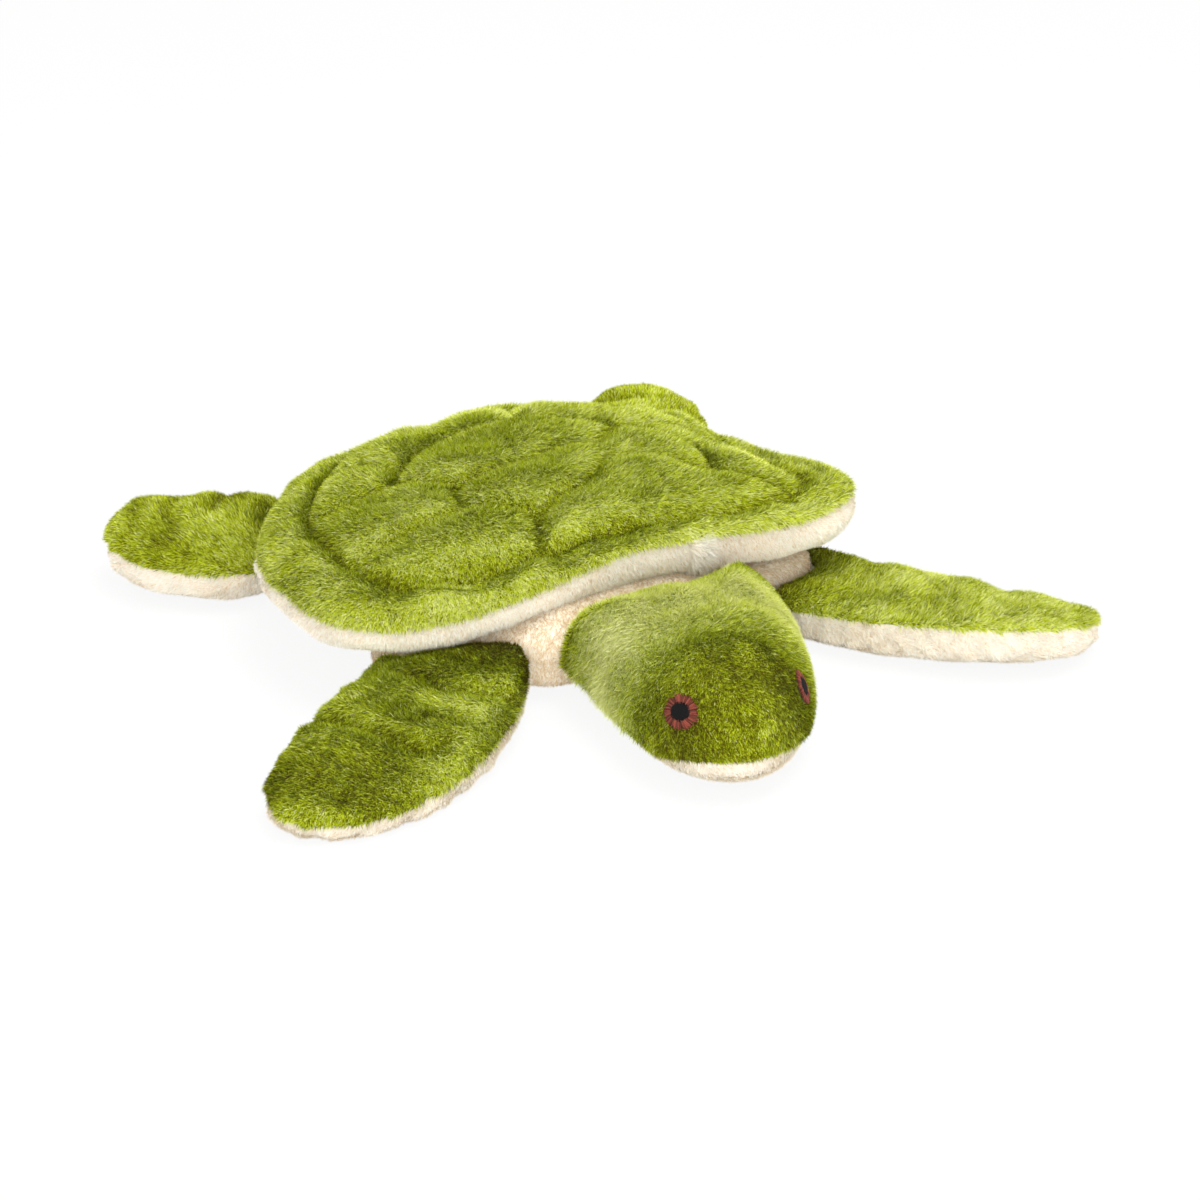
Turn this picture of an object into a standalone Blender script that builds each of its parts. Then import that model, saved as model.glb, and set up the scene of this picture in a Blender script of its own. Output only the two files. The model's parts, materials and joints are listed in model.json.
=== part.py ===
"""A stuffed plush turtle lying on its belly, modelled as it is cut and sewn.

Metres, +Z up. The head points along -Y, the turtle's own left is +X, and the
origin is the middle of the flat that the belly rests on.

Every stuffed piece is a pillow: a closed outline in plan, which is the seam,
a crown above that seam and a shallower crown below it. The pillow is cut into
real pieces: an upper panel, an under panel and the filling between them. The
trunk is the largest pillow, and the limbs and the head are cut along it. The
padded shell lies on its back.
"""

import math

import bmesh
import bpy
import numpy as np
from mathutils import Vector
from mathutils.bvhtree import BVHTree

# Shell: a broad padded heart, wider than long, with a rolled rim.
SHELL_HALF_WIDTH = 0.1185
SHELL_FRONT = 0.0785
SHELL_BACK = 0.0880
SHELL_MIDDLE_Y = -0.0080
RIM_HEIGHT = 0.0400
SHELL_CROWN_HEIGHT = 0.0655
RIM_ROLL_INSET = 0.0040
RIM_ROLL_SIDE = 0.0015
RIM_ROLL_WIDTH = 0.0035
QUILT_DEPTH = 0.0040
QUILT_THICKNESS = 0.0060
QUILT_EDGE_THICKNESS = 0.0030

# Trunk: the stuffed body below the shell, with a shoulder at each limb.
TRUNK_SEAM_HEIGHT = 0.0150
TRUNK_BACK_HEIGHT = 0.0330
BELLY_CUT = 0.0005
CHEST_INSET = -0.0125
SHOULDER_INSET = 0.0105
FLANK_INSET = 0.0280
RUMP_INSET = 0.0170

# Front flippers: one paddle pattern, sewn in at either shoulder. The left one is
# rolled so that its leading edge stands up.
FRONT_RIGHT_WIDTH_LEAD = 0.0405
FRONT_LEFT_WIDTH_LEAD = 0.0440
FRONT_RIGHT_WIDTH_TRAIL = 0.0302
FRONT_LEFT_WIDTH_TRAIL = 0.0185
FRONT_RIGHT_CROWN = 0.0105
FRONT_LEFT_CROWN = 0.0085
FRONT_RIGHT_UNDER = 0.0135
FRONT_LEFT_UNDER = 0.0190
FRONT_RIGHT_TIP_HEIGHT = 0.0070
FRONT_LEFT_TIP_HEIGHT = 0.0140
FRONT_RIGHT_LENGTH = 0.1200
FRONT_LEFT_LENGTH = 0.1225
FRONT_RIGHT_LEAD_LIFT = -0.0040
FRONT_LEFT_LEAD_LIFT = 0.0085

# Rear flippers: a shorter, rounder paddle.
REAR_LENGTH = 0.0910
REAR_WIDTH_LEAD = 0.0390
REAR_WIDTH_TRAIL = 0.0310
REAR_RIGHT_CROWN = 0.0138
REAR_LEFT_CROWN = 0.0120
REAR_RIGHT_UNDER = 0.0165
REAR_LEFT_UNDER = 0.0160
REAR_RIGHT_TIP_HEIGHT = 0.0185
REAR_LEFT_TIP_HEIGHT = 0.0245

# Head: a plump wedge that narrows to a blunt snout.
HEAD_LENGTH = 0.1020
HEAD_HALF_WIDTH = 0.0430
HEAD_CROWN = 0.0390
HEAD_UNDER = 0.0100
HEAD_SEAM_HEIGHT = 0.0115
HEAD_MIDDLE_ALONG = 0.0440

# Embroidered eyes.
IRIS_RADIUS = 0.0062
PUPIL_RADIUS = 0.0034
THREAD_EDGE = 0.0006
THREAD_CROWN = 0.0012
EYE_RIGHT_ALONG = 0.0850
EYE_RIGHT_ASIDE = 0.0230
EYE_LEFT_ALONG = 0.0795
EYE_LEFT_ASIDE = 0.0265
EYE_RAY = 0.0600

# Cloth and clearances.
PLUSH_THICKNESS = 0.0020
SEAM_GAP = 0.0003
FILL_GAP = 0.0003
SEAT_GAP = 0.0005

# How far the shell is sewn on askew, and the bend above which an edge is shown
# sharp, in degrees.
SHELL_TURN = 3.0
SHARP_ANGLE = 50.0

# Directions in degrees round the middle of the shell, from the head towards
# the turtle's left.
CHEST_ANGLE = 22.0
SHOULDER_ANGLE = 47.0
FLANK_ANGLE = 86.0
HIP_ANGLE = 129.0
RUMP_ANGLE = 160.0
FRONT_RIGHT_HEADING = -52.0
FRONT_LEFT_HEADING = 42.0
REAR_RIGHT_HEADING = -117.0
REAR_LEFT_HEADING = 138.0
HEAD_HEADING = -11.0

# Outline of each half of the shell from the neck to the tail, as shares of the
# half width and of the front or back length. The right half lies squarer.
SHELL_LEFT_SHARES = (
    (0.00, -1.00),
    (0.42, -0.98),
    (0.73, -0.92),
    (0.95, -0.73),
    (0.985, -0.45),
    (0.94, -0.08),
    (0.86, 0.28),
    (0.75, 0.56),
    (0.60, 0.74),
    (0.42, 0.87),
    (0.20, 0.96),
    (0.00, 1.00),
)
SHELL_RIGHT_SHARES = (
    (0.42, -0.98),
    (0.75, -0.94),
    (0.94, -0.74),
    (0.99, -0.36),
    (0.98, 0.02),
    (0.88, 0.35),
    (0.765, 0.58),
    (0.64, 0.79),
    (0.45, 0.93),
    (0.22, 0.99),
)

# Height of the rim seam round the shell from the head towards the turtle's left,
# at equal steps, as shares of the rim height. It arches over the neck and stands
# up at the left shoulder.
RIM_HEIGHT_SHARES = (
    1.265, 1.240, 1.170, 1.170, 0.985, 0.965, 0.965, 0.990,
    0.990, 0.990, 0.915, 0.875, 0.895, 0.905, 0.885, 1.085,
)

# Depth of the rolled rim, as a share of the rim height.
RIM_ROLL_SHARE = 0.31

# Paddle outlines: how far along the limb and how far out each edge's two
# control points lie, as shares of its length and width.
FRONT_RIGHT_LEAD_SHARES = ((0.26, 1.17), (0.90, 1.02))
FRONT_LEFT_LEAD_SHARES = ((0.30, 0.98), (1.02, 1.17))
FRONT_RIGHT_TRAIL_SHARES = ((0.37, 0.96), (1.10, 1.20))
FRONT_LEFT_TRAIL_SHARES = ((0.37, 0.82), (1.08, 1.22))
REAR_LEAD_SHARES = ((0.30, 1.30), (0.98, 1.05))
REAR_TRAIL_SHARES = ((0.35, 1.05), (0.98, 1.05))
HEAD_RIGHT_SHARES = ((0.20, 0.95), (1.02, 1.06))
HEAD_LEFT_SHARES = ((0.22, 1.20), (0.95, 0.84))
FRONT_MIDDLE_SHARE = 0.50
REAR_MIDDLE_SHARE = 0.60

# Crown profiles: the power of the distance from the middle, and the power that
# rounds the edge. A low edge power is a plump side, a high one is a wedge.
CROWN_POWER = 2.4
SHELL_EDGE_POWER = 0.68
SHELL_CROWN_POWER = 2.6
PLUMP_EDGE_POWER = 0.50
ROOT_EDGE_POWER = 0.80
NECK_EDGE_POWER = 0.52
UNDER_EDGE_POWER = 0.22
CHIN_EDGE_POWER = 0.40
BELLY_POWER = 3.0
BELLY_EDGE_POWER = 0.18
TRUNK_RING_SHARES = (0.40, 0.72, 0.89, 0.965, 1.00)

# Quilting: where the border seam runs, as a share of the way to the rim, and
# how the pads rise inside each stitched line.
BORDER_SHARE = 0.81
BORDER_BAND_SHARES = (0.855, 0.92, 0.975)
BORDER_BAND_RISE_SHARES = (0.30, 1.00, 1.00)
PAD_RING_SHARES = (0.80, 0.45)
PAD_RISE_SHARES = (0.72, 1.00)
STITCH_SPACING = 0.0105

# Mesh counts, and the columns of the trunk between which each limb is sewn on.
SHELL_COLUMNS = 48
FRONT_RIGHT_ROOT_COLUMNS = (-8, -4)
FRONT_LEFT_ROOT_COLUMNS = (5, 9)
REAR_RIGHT_ROOT_COLUMNS = (-20, -16)
REAR_LEFT_ROOT_COLUMNS = (15, 20)
NECK_ROOT_COLUMNS = (-3, 4)
LIMB_EDGE_STEPS = 9
HEAD_EDGE_STEPS = 11
LIMB_RINGS = 4
SHELL_RINGS = 4
SEAT_RINGS = 3
HEAD_RINGS = 5
ROOT_EASE_COLUMNS = 3
IRIS_STEPS = 20
PUPIL_STEPS = 16
CURVE_STEPS = 12

GREEN_PLUSH = ("green_plush", (0.330, 0.388, 0.030, 1.0), 0.95)
CREAM_PLUSH = ("cream_plush", (0.870, 0.790, 0.650, 1.0), 0.95)
FIBRE_FILL = ("fibre_fill", (0.900, 0.890, 0.870, 1.0), 1.00)
IRIS_THREAD = ("iris_thread", (0.260, 0.070, 0.045, 1.0), 0.55)
PUPIL_THREAD = ("pupil_thread", (0.010, 0.008, 0.009, 1.0), 0.50)


def clear_scene():
    """Take every object out of the open file."""
    for thing in list(bpy.data.objects):
        bpy.data.objects.remove(thing, do_unlink=True)


def material_for(finish):
    """Find or make the Principled material of one finish."""
    name, colour, roughness = finish
    found = bpy.data.materials.get(name)
    if found:
        return found
    made = bpy.data.materials.new(name)
    made.use_nodes = True
    shader = made.node_tree.nodes["Principled BSDF"]
    shader.inputs["Base Color"].default_value = colour
    shader.inputs["Roughness"].default_value = roughness
    shader.inputs["Metallic"].default_value = 0.0
    made.diffuse_color = colour
    return made


def add_object(name, points, faces, finish, holder=None):
    """Make one named solid, smooth over its curves and sharp at its cut edges."""
    origin = holder.location if holder else Vector((0.0, 0.0, 0.0))
    mesh = bpy.data.meshes.new(name)
    mesh.from_pydata([tuple(Vector(p) - origin) for p in points], [], faces)
    work = bmesh.new()
    work.from_mesh(mesh)
    bmesh.ops.recalc_face_normals(work, faces=work.faces)
    work.to_mesh(mesh)
    work.free()
    mesh.shade_smooth()
    mesh.set_sharp_from_angle(angle=math.radians(SHARP_ANGLE))
    mesh.materials.append(material_for(finish))
    made = bpy.data.objects.new(name, mesh)
    bpy.context.collection.objects.link(made)
    if holder:
        made.parent = holder
    return made


def add_hinge(name, place):
    """An empty on a joint's axis, which carries the pieces that move there."""
    made = bpy.data.objects.new(name, None)
    made.location = Vector(place)
    bpy.context.collection.objects.link(made)
    return made


# Curves in plan


def smooth_loop(points, steps):
    """A closed curve through the points, each span a Catmull-Rom cubic."""
    spans = []
    count = len(points)
    t = (np.arange(steps) / steps)[:, None]
    for i in range(count):
        before, start, end, after = (points[(i + k) % count] for k in (-1, 0, 1, 2))
        spans.append(
            0.5 * (
                2.0 * start
                + (end - before) * t
                + (2.0 * before - 5.0 * start + 4.0 * end - after) * t ** 2
                + (3.0 * start - before - 3.0 * end + after) * t ** 3
            )
        )
    return np.vstack(spans)


def bezier(start, first, second, end, steps):
    """A cubic Bezier curve in equal steps of its parameter, ends included."""
    t = np.linspace(0.0, 1.0, steps + 1)[:, None]
    s = 1.0 - t
    return s ** 3 * start + 3 * s * s * t * first + 3 * s * t * t * second + t ** 3 * end


def heading(degrees):
    """Unit plan vector for an angle from the head (-Y) to the left (+X)."""
    turn = math.radians(degrees)
    return np.array([math.sin(turn), -math.cos(turn)])


SHELL_MIDDLE = np.array([0.0, SHELL_MIDDLE_Y])


def shell_loop():
    """The whole rim outline: the left half, then the right half back to the neck."""
    right = [(-across, along) for across, along in SHELL_RIGHT_SHARES[::-1]]
    points = []
    for across, along in list(SHELL_LEFT_SHARES) + right:
        length = SHELL_FRONT if along < 0.0 else SHELL_BACK
        points.append((across * SHELL_HALF_WIDTH, SHELL_MIDDLE_Y + along * length))
    return smooth_loop(np.array(points), CURVE_STEPS)


RIM_CURVE = shell_loop()
RIM_REACH = np.hypot(*(RIM_CURVE - SHELL_MIDDLE).T)
RIM_ANGLES = np.degrees(np.arctan2(RIM_CURVE[:, 0], SHELL_MIDDLE_Y - RIM_CURVE[:, 1]))
RIM_ORDER = np.argsort(RIM_ANGLES)


def rim_reach(angle):
    """How far the rim lies from the shell's middle, for angles in degrees."""
    turned = np.asarray(angle) + SHELL_TURN
    return np.interp(turned, RIM_ANGLES[RIM_ORDER], RIM_REACH[RIM_ORDER], period=360.0)


def trunk_inset(angle):
    """How far the trunk's seam stays inside the rim, eased from place to place."""
    knots = np.array([0.0, CHEST_ANGLE, SHOULDER_ANGLE, FLANK_ANGLE, HIP_ANGLE, RUMP_ANGLE, 180.0])
    insets = np.array(
        [CHEST_INSET, CHEST_INSET, SHOULDER_INSET, FLANK_INSET, SHOULDER_INSET, RUMP_INSET, RUMP_INSET]
    )
    turn = np.abs((np.asarray(angle, float) + 180.0) % 360.0 - 180.0)
    place = np.clip(np.searchsorted(knots, turn, side="right") - 1, 0, len(knots) - 2)
    share = (turn - knots[place]) / (knots[place + 1] - knots[place])
    ease = 0.5 - 0.5 * np.cos(np.pi * share)
    return insets[place] + (insets[place + 1] - insets[place]) * ease


def round_shell(angle, reach):
    """Plan points at the angles and distances from the shell's middle."""
    turn = np.radians(angle)
    return SHELL_MIDDLE + np.stack([np.sin(turn), -np.cos(turn)], -1) * np.asarray(reach)[..., None]


def trunk_edge(angle):
    """Plan points on the trunk's seam."""
    return round_shell(angle, rim_reach(angle) - trunk_inset(angle))


RIM_HEIGHT_CURVE = smooth_loop(np.array(RIM_HEIGHT_SHARES)[:, None], CURVE_STEPS)[:, 0] * RIM_HEIGHT
RIM_HEIGHT_ANGLES = np.arange(len(RIM_HEIGHT_CURVE)) * 360.0 / len(RIM_HEIGHT_CURVE)


def rim_height(plan):
    """Height of the rim seam in the direction of the plan points."""
    out = plan - SHELL_MIDDLE
    angle = np.degrees(np.arctan2(out[..., 0], -out[..., 1]))
    return np.interp(angle, RIM_HEIGHT_ANGLES, RIM_HEIGHT_CURVE, period=360.0)


def shell_crown(plan, share):
    """Height of the smooth shell top, before quilting, at shares of the rim."""
    edge = rim_height(plan)
    bulge = (1.0 - np.clip(share, 0.0, 1.0) ** SHELL_CROWN_POWER) ** SHELL_EDGE_POWER
    return edge + (SHELL_CROWN_HEIGHT - edge) * bulge


# Patches: a middle point, rings round it and their triangles


def ring_shares(rings):
    """Distances of the rings from the middle, evenly spaced round a quarter circle."""
    return np.sin(np.linspace(0.0, math.pi / 2, rings + 1)[1:])


def disc_faces(rings, columns):
    """Triangles of a disc: point 0 in the middle, then the rings outwards."""
    faces = [(0, 1 + j, 1 + (j + 1) % columns) for j in range(columns)]
    for i in range(rings - 1):
        low, high = 1 + i * columns, 1 + (i + 1) * columns
        for j in range(columns):
            k = (j + 1) % columns
            faces.append((low + j, high + j, high + k))
            faces.append((low + j, high + k, low + k))
    return faces


def half_disc_faces(rings, columns, first, last):
    """The disc's triangles between two of its columns."""
    kept = []
    for j in range(first, last):
        k = (j + 1) % columns
        kept.append((0, 1 + j % columns, 1 + k))
        for i in range(rings - 1):
            low, high = 1 + i * columns, 1 + (i + 1) * columns
            kept.append((low + j % columns, high + j % columns, high + k))
            kept.append((low + j % columns, high + k, low + k))
    return kept


def open_edges(faces):
    """The directed edges that only one face has."""
    seen = {}
    for face in faces:
        for a, b in zip(face, face[1:] + face[:1]):
            if (b, a) in seen:
                del seen[(b, a)]
            else:
                seen[(a, b)] = True
    return list(seen)


def sheet_solid(outer, outer_faces, inner, inner_faces, inner_of):
    """Two patches and the wall that joins their edges; inner_of maps edge points."""
    points = list(outer) + list(inner)
    shift = len(outer)
    faces = list(outer_faces)
    faces += [tuple(shift + i for i in reversed(face)) for face in inner_faces]
    for a, b in open_edges(outer_faces):
        c, d = shift + inner_of(b), shift + inner_of(a)
        faces.append((b, a, d))
        faces.append((b, d, c))
    return points, faces


def filled_solid(top, top_faces, under, under_faces, columns):
    """Two patches that share their last ring of points."""
    edge = len(top) - columns
    under_edge = len(under) - columns
    shift = len(top)
    points = list(top) + list(under[:under_edge])

    def place(i):
        return edge + i - under_edge if i >= under_edge else shift + i

    faces = list(top_faces)
    faces += [tuple(place(i) for i in reversed(face)) for face in under_faces]
    return points, faces


class Pillow:
    """A stuffed form over a closed seam, in columns round its middle."""

    def __init__(self, outline, middle, seam, middle_seam, shares, crown, under, edge_powers,
                 under_power=CROWN_POWER):
        self.outline = outline
        self.middle = middle
        self.seam = seam
        self.middle_seam = middle_seam
        self.shares = np.array(shares)
        self.crown = crown
        self.under = under
        self.edge_powers = edge_powers
        self.under_power = under_power
        self.columns = len(outline)
        self.rings = len(self.shares)
        self.faces = disc_faces(self.rings, self.columns)

    def patch(self, side, inset, drop):
        """Points of the upper (side 1) or under (side -1) face, sunk by inset and drop."""
        span = self.outline - self.middle
        reach = np.hypot(*span.T)[:, None]
        span = span * (1.0 - inset / reach)
        share = self.shares[:, None, None]
        plan = self.middle + share * span[None]
        seam = self.middle_seam + share[..., 0] * (self.seam - self.middle_seam)[None]
        height = (self.crown if side > 0 else self.under) - drop
        power = CROWN_POWER if side > 0 else self.under_power
        edge_power = self.edge_powers[0 if side > 0 else 1]
        bulge = np.clip(1.0 - share[..., 0] ** power, 0.0, 1.0) ** edge_power[None]
        z = seam + side * height * bulge
        middle_z = self.middle_seam + side * height
        if side < 0:
            z = np.maximum(z, drop)
            middle_z = max(middle_z, drop)
        rings = np.concatenate([plan, z[..., None]], -1).reshape(-1, 3)
        return np.vstack([[*self.middle, middle_z], rings])


def sew_pillow(form, names, finishes, holder):
    """Upper panel, under panel and filling of a plain pillow."""
    cloth = PLUSH_THICKNESS
    lift = np.array([0.0, 0.0, SEAM_GAP])
    for name, finish, side in zip(names[:2], finishes[:2], (1, -1)):
        outer = form.patch(side, 0.0, 0.0)
        inner = form.patch(side, cloth, cloth)
        if side > 0:
            outer, inner = outer + lift, inner + lift
        points, faces = sheet_solid(outer, form.faces, inner, form.faces, lambda i: i)
        add_object(name, points, faces, finish, holder)
    sunk = cloth + FILL_GAP
    points, faces = filled_solid(
        form.patch(1, sunk, sunk), form.faces, form.patch(-1, sunk, sunk), form.faces, form.columns
    )
    add_object(names[2], points, faces, finishes[2], holder)


# Trunk


SHELL_ANGLES = np.arange(SHELL_COLUMNS) * 360.0 / SHELL_COLUMNS
TRUNK_BACK_CROWN = TRUNK_BACK_HEIGHT - TRUNK_SEAM_HEIGHT
TRUNK_BELLY_DEPTH = TRUNK_SEAM_HEIGHT + BELLY_CUT


def trunk_form():
    """The body pillow, flat where the belly lies."""
    outline = trunk_edge(SHELL_ANGLES)
    seam = np.full(SHELL_COLUMNS, TRUNK_SEAM_HEIGHT)
    powers = [np.full(SHELL_COLUMNS, power) for power in (PLUMP_EDGE_POWER, BELLY_EDGE_POWER)]
    return Pillow(
        outline, SHELL_MIDDLE, seam, TRUNK_SEAM_HEIGHT, TRUNK_RING_SHARES,
        TRUNK_BACK_CROWN, TRUNK_BELLY_DEPTH, powers, BELLY_POWER,
    )


def make_trunk():
    """Back panel, belly panel with its flat rest face, and filling."""
    form = trunk_form()
    cloth = PLUSH_THICKNESS
    lift = np.array([0.0, 0.0, SEAM_GAP])
    outer, inner = form.patch(1, 0.0, 0.0) + lift, form.patch(1, cloth, cloth) + lift
    points, faces = sheet_solid(outer, form.faces, inner, form.faces, lambda i: i)
    add_object("body_back_panel", points, faces, CREAM_PLUSH)

    outer, inner = form.patch(-1, 0.0, 0.0)[1:], form.patch(-1, cloth, cloth)
    flat = tuple(range(form.columns))
    rest = [tuple(i - 1 for i in face) for face in form.faces[form.columns:]]
    points, faces = sheet_solid(outer, [flat] + rest, inner, form.faces, lambda i: i + 1)
    add_object("belly_panel", points, faces, CREAM_PLUSH)

    sunk = cloth + FILL_GAP
    points, faces = filled_solid(
        form.patch(1, sunk, sunk), form.faces, form.patch(-1, sunk, sunk), form.faces, form.columns
    )
    add_object("body_stuffing", points, faces, FIBRE_FILL)
    return form


# Shell


def seat_rings(trunk, limit):
    """Rings on the trunk's back below the shell, none further out than the limit."""
    span = trunk.outline - trunk.middle
    shares = trunk.shares[:SEAT_RINGS, None]
    within = np.minimum(1.0, limit / (shares[-1] * np.hypot(*span.T)))
    shares = shares * within
    bulge = (1.0 - shares ** CROWN_POWER) ** PLUMP_EDGE_POWER
    plan = trunk.middle + shares[..., None] * span
    return np.concatenate([plan, (trunk.middle_seam + trunk.crown * bulge)[..., None]], -1)


def shell_under(trunk, rise):
    """The shell's cream underside: on the trunk's back, then out to the rolled rim."""
    reach = rim_reach(SHELL_ANGLES)
    rim = round_shell(SHELL_ANGLES, reach - min(rise, PLUSH_THICKNESS))
    edge = rim_height(round_shell(SHELL_ANGLES, reach))
    seat = SEAM_GAP + SEAT_GAP + rise
    middle = np.array([*trunk.middle, TRUNK_BACK_HEIGHT + seat])
    rings = seat_rings(trunk, reach - RIM_ROLL_INSET - RIM_ROLL_WIDTH)
    rings[..., 2] += seat
    low = edge * (1.0 - RIM_ROLL_SHARE)
    rings[-1][:, 2] = np.maximum(rings[-1][:, 2], low + rise)
    bottom = round_shell(SHELL_ANGLES, reach - RIM_ROLL_INSET)
    side = round_shell(SHELL_ANGLES, reach - RIM_ROLL_SIDE - rise)
    rows = [
        np.column_stack([bottom, low + rise]),
        np.column_stack([side, (edge + low + rise) / 2]),
        np.column_stack([rim, edge]),
    ]
    return np.vstack([middle[None], rings.reshape(-1, 3), *rows])


def shell_top(inset, drop):
    """The smooth shell top, sunk by inset at the rim and by drop at the crown."""
    reach = rim_reach(SHELL_ANGLES)
    edge = rim_height(round_shell(SHELL_ANGLES, reach))
    shares = ring_shares(SHELL_RINGS)
    rings = []
    for share in shares:
        plan = round_shell(SHELL_ANGLES, share * (reach - inset))
        full = shell_crown(round_shell(SHELL_ANGLES, share * reach), share)
        sunk = edge + (full - edge) * (1.0 - drop / (SHELL_CROWN_HEIGHT - RIM_HEIGHT))
        rings.append(np.column_stack([plan, sunk]))
    middle = [*SHELL_MIDDLE, SHELL_CROWN_HEIGHT - drop]
    return np.vstack([[middle], *rings])


# Stitched lines of the quilting, as points on the shell's top. A point is an
# across share of the half width and an along share of the front or back length.
QUILT_POINT_SHARES = {
    "dark_knot": (-0.19, -0.63),
    "right_inner": (-0.40, -0.42),
    "right_mid": (-0.33, -0.14),
    "right_fork": (-0.52, -0.03),
    "front_dip": (0.06, -0.44),
    "left_dimple": (0.51, -0.48),
    "left_mid": (0.33, 0.03),
    "left_fork": (0.56, 0.10),
    "tail_right": (-0.22, 0.38),
    "tail_left": (0.26, 0.42),
}
# Directions, in degrees, in which a stitched line meets the border seam.
QUILT_BORDER_ANGLES = {
    "border_front_right": -15.0,
    "border_front_left": 52.5,
    "border_side_left": 90.0,
    "border_hip_left": 120.0,
    "border_tail_left": 150.0,
    "border_tail_right": 210.0,
    "border_hip_right": 240.0,
    "border_side_right": 270.0,
    "border_shoulder_right": 300.0,
}
# Each pad goes round its corners, the turtle's left hand on the outside.
QUILT_PADS = (
    ("border_front_right", "border_front_left", "left_dimple", "front_dip", "dark_knot"),
    ("border_front_left", "border_side_left", "left_fork", "left_mid", "left_dimple"),
    ("border_side_left", "border_hip_left", "left_fork"),
    ("border_hip_left", "border_tail_left", "tail_left", "left_mid", "left_fork"),
    ("border_tail_left", "border_tail_right", "tail_right", "tail_left"),
    ("border_tail_right", "border_hip_right", "right_fork", "right_mid", "tail_right"),
    ("border_hip_right", "border_side_right", "right_fork"),
    ("border_side_right", "border_shoulder_right", "right_inner", "right_mid", "right_fork"),
    ("border_shoulder_right", "border_front_right", "dark_knot", "right_inner"),
    ("dark_knot", "front_dip", "left_dimple", "left_mid", "right_mid", "right_inner"),
    ("right_mid", "left_mid", "tail_left", "tail_right"),
)


def quilt_point(name):
    """Plan place of a corner of the quilting inside the border."""
    across, along = QUILT_POINT_SHARES[name]
    length = SHELL_FRONT if along < 0.0 else SHELL_BACK
    return np.array([across * SHELL_HALF_WIDTH, SHELL_MIDDLE_Y + along * length])


def border_column(name):
    """The column of the shell nearest to where a stitched line meets the border."""
    return round(QUILT_BORDER_ANGLES[name] * SHELL_COLUMNS / 360.0)


def stitched_line(start, end, border):
    """Plan points from one corner to the next, the end left out."""
    if start in QUILT_BORDER_ANGLES and end in QUILT_BORDER_ANGLES:
        first, last = border_column(start), border_column(end)
        if last < first:
            last += SHELL_COLUMNS
        return [border[j % SHELL_COLUMNS] for j in range(first, last)]
    ends = []
    for name in (start, end):
        on_border = name in QUILT_BORDER_ANGLES
        ends.append(border[border_column(name) % SHELL_COLUMNS] if on_border else quilt_point(name))
    forward = start < end
    a, b = ends if forward else ends[::-1]
    steps = max(2, round(float(np.hypot(*(b - a))) / STITCH_SPACING))
    line = [a + (b - a) * (k / steps) for k in range(steps + 1)]
    if not forward:
        line.reverse()
    return line[:-1]


def share_of_rim(plan):
    """How far out the plan points lie, as a share of the way to the rim."""
    out = np.atleast_2d(plan) - SHELL_MIDDLE
    angle = np.degrees(np.arctan2(out[:, 0], -out[:, 1]))
    return np.hypot(*out.T) / rim_reach(angle)


def quilted_top():
    """The outer face of the shell's top: a border band and pads between stitches."""
    reach = rim_reach(SHELL_ANGLES)
    border = round_shell(SHELL_ANGLES, BORDER_SHARE * reach)
    table = {}
    points = []
    faces = []

    def point(plan, sink):
        key = (round(plan[0] * 1e7), round(plan[1] * 1e7))
        if key not in table:
            share = share_of_rim(plan)
            z = shell_crown(np.asarray(plan)[None], share)[0] - sink
            table[key] = len(points)
            points.append((plan[0], plan[1], z))
        return table[key]

    def strip(low, high):
        count = len(low)
        for j in range(count):
            k = (j + 1) % count
            faces.append((low[j], high[j], high[k]))
            faces.append((low[j], high[k], low[k]))

    rim = [point(p, 0.0) for p in round_shell(SHELL_ANGLES, reach)]
    rows = [[point(p, QUILT_DEPTH) for p in border]]
    for share, rise in zip(BORDER_BAND_SHARES, BORDER_BAND_RISE_SHARES):
        plan = round_shell(SHELL_ANGLES, share * reach)
        rows.append([point(p, QUILT_DEPTH * (1.0 - rise)) for p in plan])
    rows.append(rim)
    for low, high in zip(rows, rows[1:]):
        strip(low, high)

    for corners in QUILT_PADS:
        loop = []
        for start, end in zip(corners, corners[1:] + corners[:1]):
            loop += stitched_line(start, end, border)
        loop = np.array(loop)
        middle = loop.mean(0)
        high = [point(p, QUILT_DEPTH) for p in loop]
        for share, rise in zip(PAD_RING_SHARES, PAD_RISE_SHARES):
            low = [point(middle + (p - middle) * share, QUILT_DEPTH * (1.0 - rise)) for p in loop]
            strip(low, high)
            high = low
        centre = point(middle, 0.0)
        for j in range(len(high)):
            faces.append((centre, high[j], high[(j + 1) % len(high)]))
    return np.array(points), faces, rim


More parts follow.
